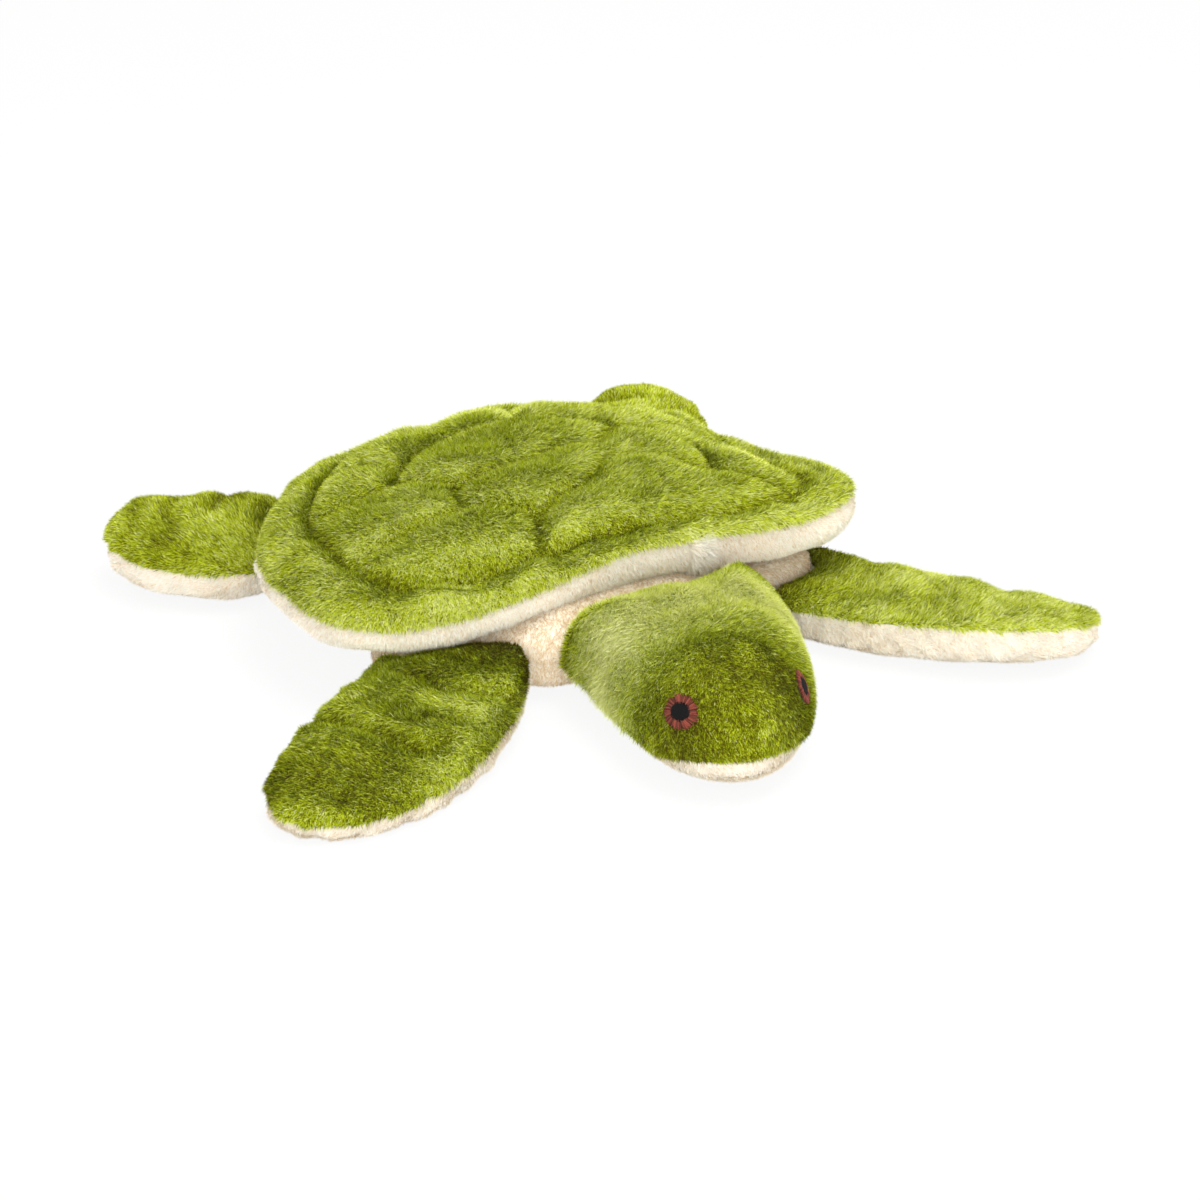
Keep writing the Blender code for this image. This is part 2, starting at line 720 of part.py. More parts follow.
def make_shell(trunk):
    """Quilted top, cream underside and the batting between them."""
    lift = np.array([0.0, 0.0, SEAM_GAP])
    outer, outer_faces, rim = quilted_top()
    inner = shell_top(QUILT_EDGE_THICKNESS, QUILT_THICKNESS)
    disc = disc_faces(SHELL_RINGS, SHELL_COLUMNS)
    first = len(inner) - SHELL_COLUMNS
    column = {point: j for j, point in enumerate(rim)}
    points, faces = sheet_solid(
        outer + lift, outer_faces, inner + lift, disc, lambda i: first + column[i]
    )
    add_object("shell_top_panel", points, faces, GREEN_PLUSH)

    under_faces = disc_faces(SEAT_RINGS + 3, SHELL_COLUMNS)
    outer, inner = shell_under(trunk, 0.0), shell_under(trunk, PLUSH_THICKNESS)
    points, faces = sheet_solid(outer, under_faces, inner, under_faces, lambda i: i)
    add_object("shell_under_panel", points, faces, CREAM_PLUSH)

    top = shell_top(QUILT_EDGE_THICKNESS + FILL_GAP, QUILT_THICKNESS + FILL_GAP)
    under = shell_under(trunk, PLUSH_THICKNESS + FILL_GAP)
    under[-SHELL_COLUMNS:] = top[-SHELL_COLUMNS:]
    points, faces = filled_solid(top, disc, under, under_faces, SHELL_COLUMNS)
    add_object("shell_batting", points, faces, FIBRE_FILL)


# Limbs and head


def root_line(columns):
    """The sewn root, a seat gap outside the trunk's seam, from right to left."""
    first, last = columns
    seam = trunk_edge(SHELL_ANGLES)
    side = np.roll(seam, -1, 0) - seam
    out = np.stack([side[:, 1], -side[:, 0]], -1) / np.hypot(*side.T)[:, None]
    out = out + np.roll(out, 1, 0)
    out = out / np.hypot(*out.T)[:, None]
    sewn = np.arange(first, last + 1) % SHELL_COLUMNS
    return seam[sewn] + SEAT_GAP * out[sewn]


def hinge_point(root):
    """The outermost point of a root, seen square to its chord."""
    chord = root[-1] - root[0]
    out = np.array([chord[1], -chord[0]])
    return root[np.argmax((root - root[0]) @ out)]


def local_points(base, degrees, length, width, side, shares):
    """Plan points given as shares along a heading and out to one side of it."""
    along = heading(degrees)
    across = heading(degrees + 90.0) * side
    return [base + along * length * a + across * width * b for a, b in shares]


def limb_outline(root, base, degrees, length, widths, right_shares, left_shares, steps):
    """Root line, left edge to the tip, and right edge back to the root."""
    tip = base + heading(degrees) * length
    left = local_points(base, degrees, length, widths[1], 1.0, left_shares)
    right = local_points(base, degrees, length, widths[0], -1.0, right_shares)
    left_edge = bezier(root[-1], left[0], left[1], tip, steps)
    right_edge = bezier(tip, right[1], right[0], root[0], steps)
    return np.vstack([root[:-1], left_edge[:-1], right_edge[:-1]])


def limb_powers(columns, root_steps, root_powers, under_power):
    """Edge powers of the upper and under face: a wedge along the root, plump elsewhere."""
    column = np.arange(columns)
    away = np.clip(np.minimum(column - root_steps, columns - column) / ROOT_EASE_COLUMNS, 0.0, 1.0)
    root = np.array(root_powers)[:, None]
    plump = np.array([[PLUMP_EDGE_POWER], [under_power]])
    return root + (plump - root) * away


def make_flipper(name, columns, degrees, length, widths, shares, middle_share, depths, tip_height, lead_lift):
    """One flipper: green top, cream underside and filling, hinged at its root."""
    root = root_line(columns)
    base = root.mean(0)
    outline = limb_outline(root, base, degrees, length, widths, *shares, LIMB_EDGE_STEPS)
    middle = base + heading(degrees) * length * middle_share
    along = np.clip((outline - base) @ heading(degrees) / length, 0.0, 1.0)
    across = (outline - base) @ heading(degrees + 90.0) / sum(widths)
    seam = TRUNK_SEAM_HEIGHT + (tip_height - TRUNK_SEAM_HEIGHT) * along
    seam = seam + 2.0 * lead_lift * across * along * np.sign(-degrees)
    middle_seam = TRUNK_SEAM_HEIGHT + (tip_height - TRUNK_SEAM_HEIGHT) * middle_share
    form = Pillow(
        outline, middle, seam, middle_seam, ring_shares(LIMB_RINGS), *depths,
        limb_powers(len(outline), len(root) - 1, (ROOT_EDGE_POWER, ROOT_EDGE_POWER), UNDER_EDGE_POWER),
    )
    holder = add_hinge(name + "_hinge", (*hinge_point(root), TRUNK_SEAM_HEIGHT))
    names = [name + end for end in ("_top_panel", "_under_panel", "_stuffing")]
    sew_pillow(form, names, (GREEN_PLUSH, CREAM_PLUSH, FIBRE_FILL), holder)


def head_form():
    """The head pillow, its columns starting at the right end of the neck seam."""
    root = root_line(NECK_ROOT_COLUMNS)
    base = root.mean(0)
    outline = limb_outline(
        root, base, HEAD_HEADING, HEAD_LENGTH, (HEAD_HALF_WIDTH, HEAD_HALF_WIDTH),
        HEAD_RIGHT_SHARES, HEAD_LEFT_SHARES, HEAD_EDGE_STEPS,
    )
    middle = base + heading(HEAD_HEADING) * HEAD_MIDDLE_ALONG
    along = np.clip((outline - base) @ heading(HEAD_HEADING) / HEAD_LENGTH, 0.0, 1.0)
    seam = TRUNK_SEAM_HEIGHT + (HEAD_SEAM_HEIGHT - TRUNK_SEAM_HEIGHT) * along
    form = Pillow(
        outline, middle, seam, HEAD_SEAM_HEIGHT, ring_shares(HEAD_RINGS), HEAD_CROWN, HEAD_UNDER,
        limb_powers(len(outline), len(root) - 1, (NECK_EDGE_POWER, ROOT_EDGE_POWER), CHIN_EDGE_POWER),
    )
    return form, root, base


def make_head():
    """Two green top panels with a middle seam, cream chin, filling and eyes."""
    form, root, base = head_form()
    holder = add_hinge("head_hinge", (*hinge_point(root), TRUNK_SEAM_HEIGHT))
    cloth = PLUSH_THICKNESS
    lift = np.array([0.0, 0.0, SEAM_GAP])
    outer, inner = form.patch(1, 0.0, 0.0) + lift, form.patch(1, cloth, cloth) + lift
    neck = (len(root) - 1) // 2
    nose = len(root) - 1 + HEAD_EDGE_STEPS
    halves = (
        ("head_top_panel_left", neck, nose, 0.5),
        ("head_top_panel_right", nose, neck + form.columns, -0.5),
    )
    aside = heading(HEAD_HEADING + 90.0)
    for name, first, last, side in halves:
        faces_half = half_disc_faces(form.rings, form.columns, first, last)
        used = sorted({i for face in faces_half for i in face})
        number = {old: new for new, old in enumerate(used)}
        faces_half = [tuple(number[i] for i in face) for face in faces_half]
        shift = np.array([*(aside * side * SEAM_GAP), 0.0])
        points, faces = sheet_solid(
            outer[used] + shift, faces_half, inner[used] + shift, faces_half, lambda i: i
        )
        add_object(name, points, faces, GREEN_PLUSH, holder)

    points, faces = sheet_solid(
        form.patch(-1, 0.0, 0.0), form.faces, form.patch(-1, cloth, cloth), form.faces, lambda i: i
    )
    add_object("chin_panel", points, faces, CREAM_PLUSH, holder)
    sunk = cloth + FILL_GAP
    points, faces = filled_solid(
        form.patch(1, sunk, sunk), form.faces, form.patch(-1, sunk, sunk), form.faces, form.columns
    )
    add_object("head_stuffing", points, faces, FIBRE_FILL, holder)

    skin = BVHTree.FromPolygons([tuple(p) for p in outer], form.faces)
    core = Vector((*form.middle, HEAD_SEAM_HEIGHT))
    for word, along, out in (
        ("left", EYE_LEFT_ALONG, EYE_LEFT_ASIDE),
        ("right", EYE_RIGHT_ALONG, -EYE_RIGHT_ASIDE),
    ):
        make_eye(skin, core, base + heading(HEAD_HEADING) * along + aside * out, word, holder)


def make_eye(skin, core, plan, word, holder):
    """A stitched iris ring and pupil that follow the face they are sewn on."""
    toward = Vector((*plan, core.z + HEAD_CROWN / 2)) - core
    toward.normalize()
    hit, facing, _, _ = skin.ray_cast(core + toward * 2 * EYE_RAY, -toward)
    out = facing if facing.dot(toward) > 0.0 else -facing
    u = out.cross(Vector((0.0, 0.0, 1.0))).normalized()
    v = out.cross(u)

    def on_skin(r, turn, height):
        flat = hit + (u * math.cos(turn) + v * math.sin(turn)) * r
        touch = skin.ray_cast(flat + out * EYE_RAY, -out)[0]
        return touch + out * (SEAT_GAP + height)

    inner = PUPIL_RADIUS + FILL_GAP
    middle = (inner + IRIS_RADIUS) / 2
    section = [(inner, 0.0), (middle, 0.0), (IRIS_RADIUS, 0.0), (IRIS_RADIUS, THREAD_EDGE),
               (middle, THREAD_CROWN), (inner, THREAD_EDGE)]
    turns = [2.0 * math.pi * k / IRIS_STEPS for k in range(IRIS_STEPS)]
    points = [on_skin(r, t, h) for t in turns for r, h in section]
    count = len(section)
    faces = []
    for j in range(IRIS_STEPS):
        k = (j + 1) % IRIS_STEPS
        for i in range(count):
            n = (i + 1) % count
            corner = [j * count + i, j * count + n, k * count + n, k * count + i]
            faces.append((corner[0], corner[1], corner[2]))
            faces.append((corner[0], corner[2], corner[3]))
    add_object("eye_iris_" + word, points, faces, IRIS_THREAD, holder)

    rings = [(PUPIL_RADIUS / 2, 0.0), (PUPIL_RADIUS, 0.0), (PUPIL_RADIUS, THREAD_EDGE),
             (PUPIL_RADIUS / 2, THREAD_CROWN)]
    turns = [2.0 * math.pi * k / PUPIL_STEPS for k in range(PUPIL_STEPS)]
    points = [on_skin(0.0, 0.0, 0.0)] + [on_skin(r, t, h) for r, h in rings for t in turns]
    points.append(on_skin(0.0, 0.0, THREAD_CROWN))
    faces = disc_faces(len(rings), PUPIL_STEPS)
    last = 1 + (len(rings) - 1) * PUPIL_STEPS
    top = len(points) - 1
    faces += [(top, last + (j + 1) % PUPIL_STEPS, last + j) for j in range(PUPIL_STEPS)]
    add_object("eye_pupil_" + word, points, faces, PUPIL_THREAD, holder)


def build():
    clear_scene()
    trunk = make_trunk()
    make_shell(trunk)
    make_head()
    make_flipper(
        "front_right_flipper", FRONT_RIGHT_ROOT_COLUMNS, FRONT_RIGHT_HEADING, FRONT_RIGHT_LENGTH,
        (FRONT_RIGHT_WIDTH_TRAIL, FRONT_RIGHT_WIDTH_LEAD),
        (FRONT_RIGHT_TRAIL_SHARES, FRONT_RIGHT_LEAD_SHARES), FRONT_MIDDLE_SHARE,
        (FRONT_RIGHT_CROWN, FRONT_RIGHT_UNDER), FRONT_RIGHT_TIP_HEIGHT, FRONT_RIGHT_LEAD_LIFT,
    )
    make_flipper(
        "front_left_flipper", FRONT_LEFT_ROOT_COLUMNS, FRONT_LEFT_HEADING, FRONT_LEFT_LENGTH,
        (FRONT_LEFT_WIDTH_LEAD, FRONT_LEFT_WIDTH_TRAIL),
        (FRONT_LEFT_LEAD_SHARES, FRONT_LEFT_TRAIL_SHARES), FRONT_MIDDLE_SHARE,
        (FRONT_LEFT_CROWN, FRONT_LEFT_UNDER), FRONT_LEFT_TIP_HEIGHT, FRONT_LEFT_LEAD_LIFT,
    )
    make_flipper(
        "rear_right_flipper", REAR_RIGHT_ROOT_COLUMNS, REAR_RIGHT_HEADING, REAR_LENGTH,
        (REAR_WIDTH_TRAIL, REAR_WIDTH_LEAD), (REAR_TRAIL_SHARES, REAR_LEAD_SHARES),
        REAR_MIDDLE_SHARE, (REAR_RIGHT_CROWN, REAR_RIGHT_UNDER), REAR_RIGHT_TIP_HEIGHT, 0.0,
    )
    make_flipper(
        "rear_left_flipper", REAR_LEFT_ROOT_COLUMNS, REAR_LEFT_HEADING, REAR_LENGTH,
        (REAR_WIDTH_LEAD, REAR_WIDTH_TRAIL), (REAR_LEAD_SHARES, REAR_TRAIL_SHARES),
        REAR_MIDDLE_SHARE, (REAR_LEFT_CROWN, REAR_LEFT_UNDER), REAR_LEFT_TIP_HEIGHT, 0.0,
    )


build()
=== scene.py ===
# %% [markdown]
# # A plush turtle, dressed in its pile
#
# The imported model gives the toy's forms, places and joints as plain closed
# solids. This lesson lays the cloth over them: smooth stuffed panels first,
# then tens of thousands of short fibres on each panel, because short pile is
# what the eye reads on a soft toy, and no bump map gives its soft outline.

# %% Load the frame
import json
import math

import bpy
import numpy as np
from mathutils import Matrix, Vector

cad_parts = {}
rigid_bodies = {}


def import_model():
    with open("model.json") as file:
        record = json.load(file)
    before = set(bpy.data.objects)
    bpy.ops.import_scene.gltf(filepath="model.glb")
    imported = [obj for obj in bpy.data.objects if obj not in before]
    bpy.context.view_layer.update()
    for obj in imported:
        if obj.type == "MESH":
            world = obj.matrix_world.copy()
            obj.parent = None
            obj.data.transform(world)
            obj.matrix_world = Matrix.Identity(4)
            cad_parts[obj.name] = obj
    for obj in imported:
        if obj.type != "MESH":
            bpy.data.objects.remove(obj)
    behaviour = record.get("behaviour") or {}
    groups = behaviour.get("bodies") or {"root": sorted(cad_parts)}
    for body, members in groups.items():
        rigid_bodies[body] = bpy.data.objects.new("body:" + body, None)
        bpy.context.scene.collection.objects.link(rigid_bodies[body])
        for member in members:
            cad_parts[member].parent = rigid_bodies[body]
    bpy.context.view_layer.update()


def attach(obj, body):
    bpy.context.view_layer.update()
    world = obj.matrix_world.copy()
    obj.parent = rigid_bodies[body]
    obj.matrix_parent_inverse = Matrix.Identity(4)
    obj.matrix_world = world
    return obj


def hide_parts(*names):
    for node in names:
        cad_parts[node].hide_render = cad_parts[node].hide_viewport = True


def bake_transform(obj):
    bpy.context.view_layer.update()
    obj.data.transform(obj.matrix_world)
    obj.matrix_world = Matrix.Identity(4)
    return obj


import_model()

# %% [markdown]
# ## The camera
#
# A photograph's angle can be matched by eye or worked out. Here it was worked
# out: the lens, the bearing and the height come from how the belly's flat and
# the limbs' tips lie in the picture. The shift moves the frame, not the camera,
# so the perspective stays as it is.

# %% Camera
BEARING, HEIGHT_ANGLE = math.radians(-29.0), math.radians(24.0)
AIM = Vector((-0.005, -0.054, 0.035))
CAMERA_DISTANCE = 1.0982
LENS_MM, SENSOR_MM = 85.0, 36.0
FRAME_PIXELS, SHIFT_RIGHT, SHIFT_UP = 1200.0, 20.0, -40.0

camera = bpy.data.objects.new("camera", bpy.data.cameras.new("camera"))
bpy.context.scene.collection.objects.link(camera)
toward_camera = Vector((
    math.sin(BEARING) * math.cos(HEIGHT_ANGLE),
    -math.cos(BEARING) * math.cos(HEIGHT_ANGLE),
    math.sin(HEIGHT_ANGLE),
))
camera.location = AIM + toward_camera * CAMERA_DISTANCE
camera.rotation_mode = "QUATERNION"
camera.rotation_quaternion = (-toward_camera).to_track_quat("-Z", "Y")
camera.data.lens = LENS_MM
camera.data.sensor_width = SENSOR_MM
camera.data.shift_x = SHIFT_RIGHT / FRAME_PIXELS
camera.data.shift_y = SHIFT_UP / FRAME_PIXELS
bpy.context.scene.camera = camera
print("camera at", [round(c, 3) for c in camera.location])

# %% [markdown]
# ## Shader maths as plain sums
#
# A finish is a small sum over sockets. Wrapping a socket in a class lets the
# sum be written as Python writes it, and each operator adds its own Math node.


# %% Sockets that can be added and multiplied
class Wire:
    """A node's output that takes part in ordinary arithmetic."""

    def __init__(self, finish, socket):
        self.finish, self.socket = finish, socket

    def sum_with(self, operation, first, second):
        """A Math node on two values, each a number or a wire."""
        return self.finish.node("Math", {"operation": operation}, (first, second))

    def __add__(self, other):
        return self.sum_with("ADD", self, other)

    def __sub__(self, other):
        return self.sum_with("SUBTRACT", self, other)

    def __rsub__(self, other):
        return self.sum_with("SUBTRACT", other, self)

    def __mul__(self, other):
        return self.sum_with("MULTIPLY", self, other)

    def __pow__(self, other):
        return self.sum_with("POWER", self, other)

    __radd__, __rmul__ = __add__, __mul__


class Finish:
    """A procedural material: its Principled shader and the nodes that feed it."""

    def __init__(self, name, **constants):
        self.material = bpy.data.materials.new(name)
        self.material.use_nodes = True
        self.tree = self.material.node_tree
        self.shader = self.tree.nodes["Principled BSDF"]
        for socket, value in constants.items():
            self.shader.inputs[socket.replace("_", " ")].default_value = value

    def node(self, kind, settings=None, inputs=(), output=0):
        """Add a node: its settings first, then values or wires for its inputs."""
        made = self.tree.nodes.new("ShaderNode" + kind)
        for key, value in (settings or {}).items():
            if key == "stops":
                ramp = made.color_ramp
                while len(ramp.elements) < len(value):
                    ramp.elements.new(0.5)
                for element, (place, colour) in zip(ramp.elements, value):
                    element.position, element.color = place, colour
            else:
                setattr(made, key, value)
        pairs = inputs.items() if isinstance(inputs, dict) else enumerate(inputs)
        for key, value in pairs:
            if isinstance(value, Wire):
                self.tree.links.new(value.socket, made.inputs[key])
            else:
                made.inputs[key].default_value = value
        return Wire(self, made.outputs[output])

    def ramp(self, value, stops):
        """A colour read off a strip of stops."""
        return self.node("ValToRGB", {"stops": stops}, (value,))

    def mix(self, first, second, share):
        """A colour between two, by share."""
        return self.node(
            "Mix", {"data_type": "RGBA"}, {0: share, 6: first, 7: second}, output=2
        )

    def noise(self, place, scale, detail=2.0):
        """Cloudy values from 0 to 1 over a place."""
        return self.node("TexNoise", inputs={"Vector": place, "Scale": scale, "Detail": detail})

    def fibre(self):
        """A fibre's lightness, and the way from root to tip, out of its UV map."""
        place = self.node("UVMap", {"uv_map": "OFBake"})
        tone = self.node("SeparateXYZ", inputs=(place,))
        return tone, Wire(self, tone.socket.node.outputs[1])

    def feed(self, **sockets):
        """Link wires to the shader's own sockets."""
        for socket, wire in sockets.items():
            self.tree.links.new(wire.socket, self.shader.inputs[socket.replace("_", " ")])
        return self.material


def screen(red, green, blue):
    """A colour picked on a screen, 0 to 255, as the linear light a shader takes."""
    parts = np.array([red, green, blue]) / 255.0
    linear = np.where(parts <= 0.04045, parts / 12.92, ((parts + 0.055) / 1.055) ** 2.4)
    return (*linear.tolist(), 1.0)


# %% [markdown]
# ## Finishes
#
# Each fibre carries two numbers in its UV map: how light it is across, and how
# far from root to tip along. The colour is read from those two alone: the roots
# are painted deeper as shade among the fibres, the tips painted lighter as a
# highlight, and brushed patches come from the geometry, with a little painted
# sheen on them, and not from a picture.


# %% Finishes
TIP_EASE = 0.7
BACKING_GRAIN, BACKING_CLOUD = 900.0, 60.0


def pile_finish(name, root_stops, tip_stops, sheen):
    """Fibre colour: a root tone and a tip tone by lightness, blended along the fibre; the darker roots
    are painted shade and the lighter tips a painted highlight.
    """
    finish = Finish(name, Roughness=0.9, Specular_IOR_Level=0.15, Sheen_Weight=sheen)
    tone, along = finish.fibre()
    root = finish.ramp(tone, root_stops)
    tip = finish.ramp(tone, tip_stops)
    return finish.feed(Base_Color=finish.mix(root, tip, along ** TIP_EASE))


def backing_finish(name, deep, light):
    """Knitted backing under the pile: cloudy tone, fine bump, both on object places."""
    finish = Finish(name, Roughness=0.95, Sheen_Weight=0.1)
    place = finish.node("TexCoord", output=3)
    cloud = finish.noise(place, BACKING_CLOUD, 3.0)
    thread = finish.noise(place, BACKING_GRAIN)
    colour = finish.mix(deep, light, cloud * 0.6 + thread * 0.4)
    bump = finish.node("Bump", inputs={"Strength": 0.5, "Distance": 0.0006, "Height": thread})
    return finish.feed(Base_Color=colour, Normal=bump)


# The middle stops are the cloth's own green. The deeper root stops are painted shade among the fibres,
# the brown lowest stops are painted shade under the shell's rim, and the palest tip stops are a painted
# highlight.
GREEN_PILE = pile_finish(
    "green_pile",
    ((0.0, screen(78, 64, 2)), (0.12, screen(102, 114, 2)), (0.35, screen(150, 162, 6)),
     (1.0, screen(208, 216, 40))),
    ((0.0, screen(92, 78, 2)), (0.12, screen(126, 140, 2)), (0.35, screen(192, 206, 12)),
     (0.62, screen(232, 242, 62)), (1.0, screen(255, 255, 206))),
    0.02,
)
# The cream's lowest stops are partly a warmer peach of the cloth and partly painted shade, used for the
# chest and belly under the shell.
CREAM_PILE = pile_finish(
    "cream_pile",
    ((0.0, screen(222, 192, 148)), (0.6, screen(248, 236, 214)), (1.0, screen(253, 247, 232))),
    ((0.0, screen(234, 210, 172)), (0.6, screen(253, 245, 229)), (1.0, screen(255, 254, 246))),
    0.05,
)
# The green backing is the deep green seen between fibres: partly the cloth's own colour, partly painted
# shade.
GREEN_BACKING = backing_finish("green_backing", screen(120, 130, 10), screen(150, 162, 24))
CREAM_BACKING = backing_finish("cream_backing", screen(248, 234, 208), screen(254, 247, 232))
print("finishes", len(bpy.data.materials))

# %% [markdown]
# ## The toy's own sizes
#
# The stuffed forms follow the same rules as the solids they cover: a closed
# seam in plan, a crown over it and a shallower crown below it. These sizes are
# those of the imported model, in metres. The rim's outline is written as shares of
# the half width and of the reach in front and behind, and its height as shares of
# one height, so that one number resizes the whole curve.

# %% Sizes
SHELL_HALF_WIDTH, SHELL_FRONT, SHELL_BACK, SHELL_MIDDLE_Y = 0.1185, 0.0785, 0.0880, -0.0080
RIM_HEIGHT, SHELL_CROWN_HEIGHT, RIM_ROLL_SHARE = 0.0400, 0.0655, 0.31
SHELL_TURN = 3.0
SHELL_LEFT_SHARES = (
    (0.00, -1.00), (0.42, -0.98), (0.73, -0.92), (0.95, -0.73), (0.985, -0.45), (0.94, -0.08),
    (0.86, 0.28), (0.75, 0.56), (0.60, 0.74), (0.42, 0.87), (0.20, 0.96), (0.00, 1.00),
)
SHELL_RIGHT_SHARES = (
    (0.42, -0.98), (0.75, -0.94), (0.94, -0.74), (0.99, -0.36), (0.98, 0.02), (0.88, 0.35),
    (0.765, 0.58), (0.64, 0.79), (0.45, 0.93), (0.22, 0.99),
)
RIM_HEIGHT_SHARES = (
    1.265, 1.240, 1.170, 1.170, 0.985, 0.965, 0.965, 0.990,
    0.990, 0.990, 0.915, 0.875, 0.895, 0.905, 0.885, 1.085,
)
TRUNK_SEAM_HEIGHT, TRUNK_BACK_HEIGHT = 0.0150, 0.0330
INSET_ANGLES = (0.0, 22.0, 47.0, 86.0, 129.0, 160.0, 180.0)
INSETS = (-0.0125, -0.0125, 0.0105, 0.0280, 0.0105, 0.0170, 0.0170)
# Powers of the crowns: across a panel, and near its edge by the kind of place.
CROWN_POWER, PLUMP, UNDER, CHIN, ROOT, NECK = 2.4, 0.50, 0.22, 0.26, 0.80, 0.52
SHELL_EDGE_POWER, SHELL_CROWN_POWER, BELLY_POWER, BELLY_EDGE_POWER = 0.68, 2.6, 3.0, 0.18
COLUMN_DEGREES = 7.5
SEAT_GAP = 0.0005
RIM_STEPS = 24
SHELL_MIDDLE = np.array([0.0, SHELL_MIDDLE_Y])


def smooth_line(points, steps, closed=False):
    """A Catmull-Rom curve: each span a cubic through its two ends, slopes from the next ones."""
    points = np.asarray(points, float)
    if closed:
        ring = np.vstack([points[-1:], points, points[:2]])
    else:
        ring = np.vstack([2 * points[:1] - points[1:2], points, 2 * points[-1:] - points[-2:-1]])
    t = (np.arange(steps) / steps)[None, :, None]
    a, b, c, d = (ring[k:len(ring) - 3 + k][:, None] for k in range(4))
    spans = 0.5 * (2 * b + (c - a) * t + (2 * a - 5 * b + 4 * c - d) * t ** 2
                   + (3 * b - a - 3 * c + d) * t ** 3)
    line = spans.reshape(-1, points.shape[1])
    return line if closed else np.vstack([line, points[-1:]])


def rim_table():
    """The rim's outline as its reach at each bearing round the shell's middle."""
    shares = SHELL_LEFT_SHARES + tuple((-x, y) for x, y in SHELL_RIGHT_SHARES[::-1])
    places = [
        (x * SHELL_HALF_WIDTH, SHELL_MIDDLE_Y + y * (SHELL_FRONT if y < 0 else SHELL_BACK))
        for x, y in shares
    ]
    loop = smooth_line(places, RIM_STEPS, closed=True)
    bearing = np.degrees(np.arctan2(loop[:, 0], SHELL_MIDDLE_Y - loop[:, 1]))
    order = np.argsort(bearing)
    return bearing[order], np.hypot(*(loop - SHELL_MIDDLE).T)[order]


RIM_BEARINGS, RIM_REACHES = rim_table()


def rim_reach(angle):
    """Distance of the rim from the shell's middle at bearings in degrees."""
    return np.interp(np.asarray(angle) + SHELL_TURN, RIM_BEARINGS, RIM_REACHES, period=360.0)


def round_shell(angle, reach):
    """Plan points: the middle plus reach times the unit vector at each bearing."""
    turn = np.radians(angle)
    way = np.stack([np.sin(turn), -np.cos(turn)], -1)
    return SHELL_MIDDLE + way * np.asarray(reach)[..., None]


def trunk_edge(angle):
    """The trunk's seam in plan: the rim less an inset that eases from place to place."""
    turn = np.abs((np.asarray(angle, float) + 180.0) % 360.0 - 180.0)
    knots, insets = np.array(INSET_ANGLES), np.array(INSETS)
    place = np.clip(np.searchsorted(knots, turn, side="right") - 1, 0, len(knots) - 2)
    ease = 0.5 - 0.5 * np.cos(np.pi * (turn - knots[place]) / (knots[place + 1] - knots[place]))
    inset = insets[place] + (insets[place + 1] - insets[place]) * ease
    return round_shell(angle, rim_reach(angle) - inset)


RIM_HEIGHTS = RIM_HEIGHT * smooth_line(
    np.array(RIM_HEIGHT_SHARES)[:, None], RIM_STEPS, closed=True)[:, 0]


def bearing_of(plan):
    """Bearing of plan points round the shell's middle, in degrees from the head."""
    out = plan[..., :2] - SHELL_MIDDLE
    return np.degrees(np.arctan2(out[..., 0], -out[..., 1]))


def rim_height(plan):
    """Height of the rim in the direction of the plan points, read off its own curve."""
    steps = np.arange(len(RIM_HEIGHTS)) * 360.0 / len(RIM_HEIGHTS)
    return np.interp(bearing_of(plan), steps, RIM_HEIGHTS, period=360.0)


def heading(degrees):
    """Unit plan vector for a bearing from the head (-Y) to the turtle's left (+X)."""
    turn = math.radians(degrees)
    return np.array([math.sin(turn), -math.cos(turn)])


print("rim reach", round(float(rim_reach(0.0)), 4), round(float(rim_reach(90.0)), 4))

# %% [markdown]
# ## Soft irregularity
#
# Stuffed cloth is never exact. A sum of sine waves in random directions is
# smooth, cheap over whole arrays, and the same each run when it is seeded. A hill
# and a slope, two small functions, place every swelling, fold and fade.


# %% Waves
def waves(points, size, seed, count=9):
    """Smooth values from about -1 to 1: sines across random directions, added and scaled."""
    draw = np.random.default_rng(seed)
    ways = draw.normal(size=(count, 3))
    pitch = 2 * np.pi / size * draw.uniform(0.7, 1.4, count)
    ways *= (pitch / np.linalg.norm(ways, axis=1))[:, None]
    phase = draw.uniform(0, 2 * np.pi, count)
    total = np.sin(points.reshape(-1, 3) @ ways.T + phase).sum(1)
    return (total / math.sqrt(count / 2)).reshape(points.shape[:-1])


def distance_to(plan, lines):
    """Least distance in plan from each point to any of the lines' straight steps."""
    flat = plan.reshape(-1, 2)
    least = np.full(len(flat), np.inf)
    for line in lines:
        for a, b in zip(line[:-1], line[1:]):
            step = b - a
            t = np.clip((flat - a) @ step / (step @ step), 0.0, 1.0)
            least = np.minimum(least, np.hypot(*(flat - a - t[:, None] * step).T))
    return least.reshape(plan.shape[:-1])


# %% Hills, slopes and shares
# Folds and waves die away over this share of a panel beside its seam.
SEAM_FADE = 0.08


def hill(value, place, spread, power=2):
    """1 at a place, and away from it e to the minus (distance over spread) to a power."""
    return np.exp(-((value - place) / spread) ** power)


def slope(value, start, run):
    """0 up to a start, then an even rise to 1 over a run."""
    return np.clip((value - start) / run, 0.0, 1.0)


def ring_shares(rings):
    """Shares from 0 in the middle to 1 at the seam, closer at the seam: the sine of equal turns."""
    return np.sin(np.linspace(0.0, math.pi / 2, rings + 1))[:, None]


def unit(vectors):
    """Each vector over its own length."""
    return vectors / np.maximum(np.linalg.norm(vectors, axis=-1, keepdims=True), 1e-9)


# %% [markdown]
# ## Panels
#
# A soft toy is cut from panels of cloth. A panel here is a grid: rings from the
# middle to the seam, columns round it. It could be a mesh from the start, but as
# an array its normals, its area and any place on it can be worked out at once
# for all the fibres that stand on it.


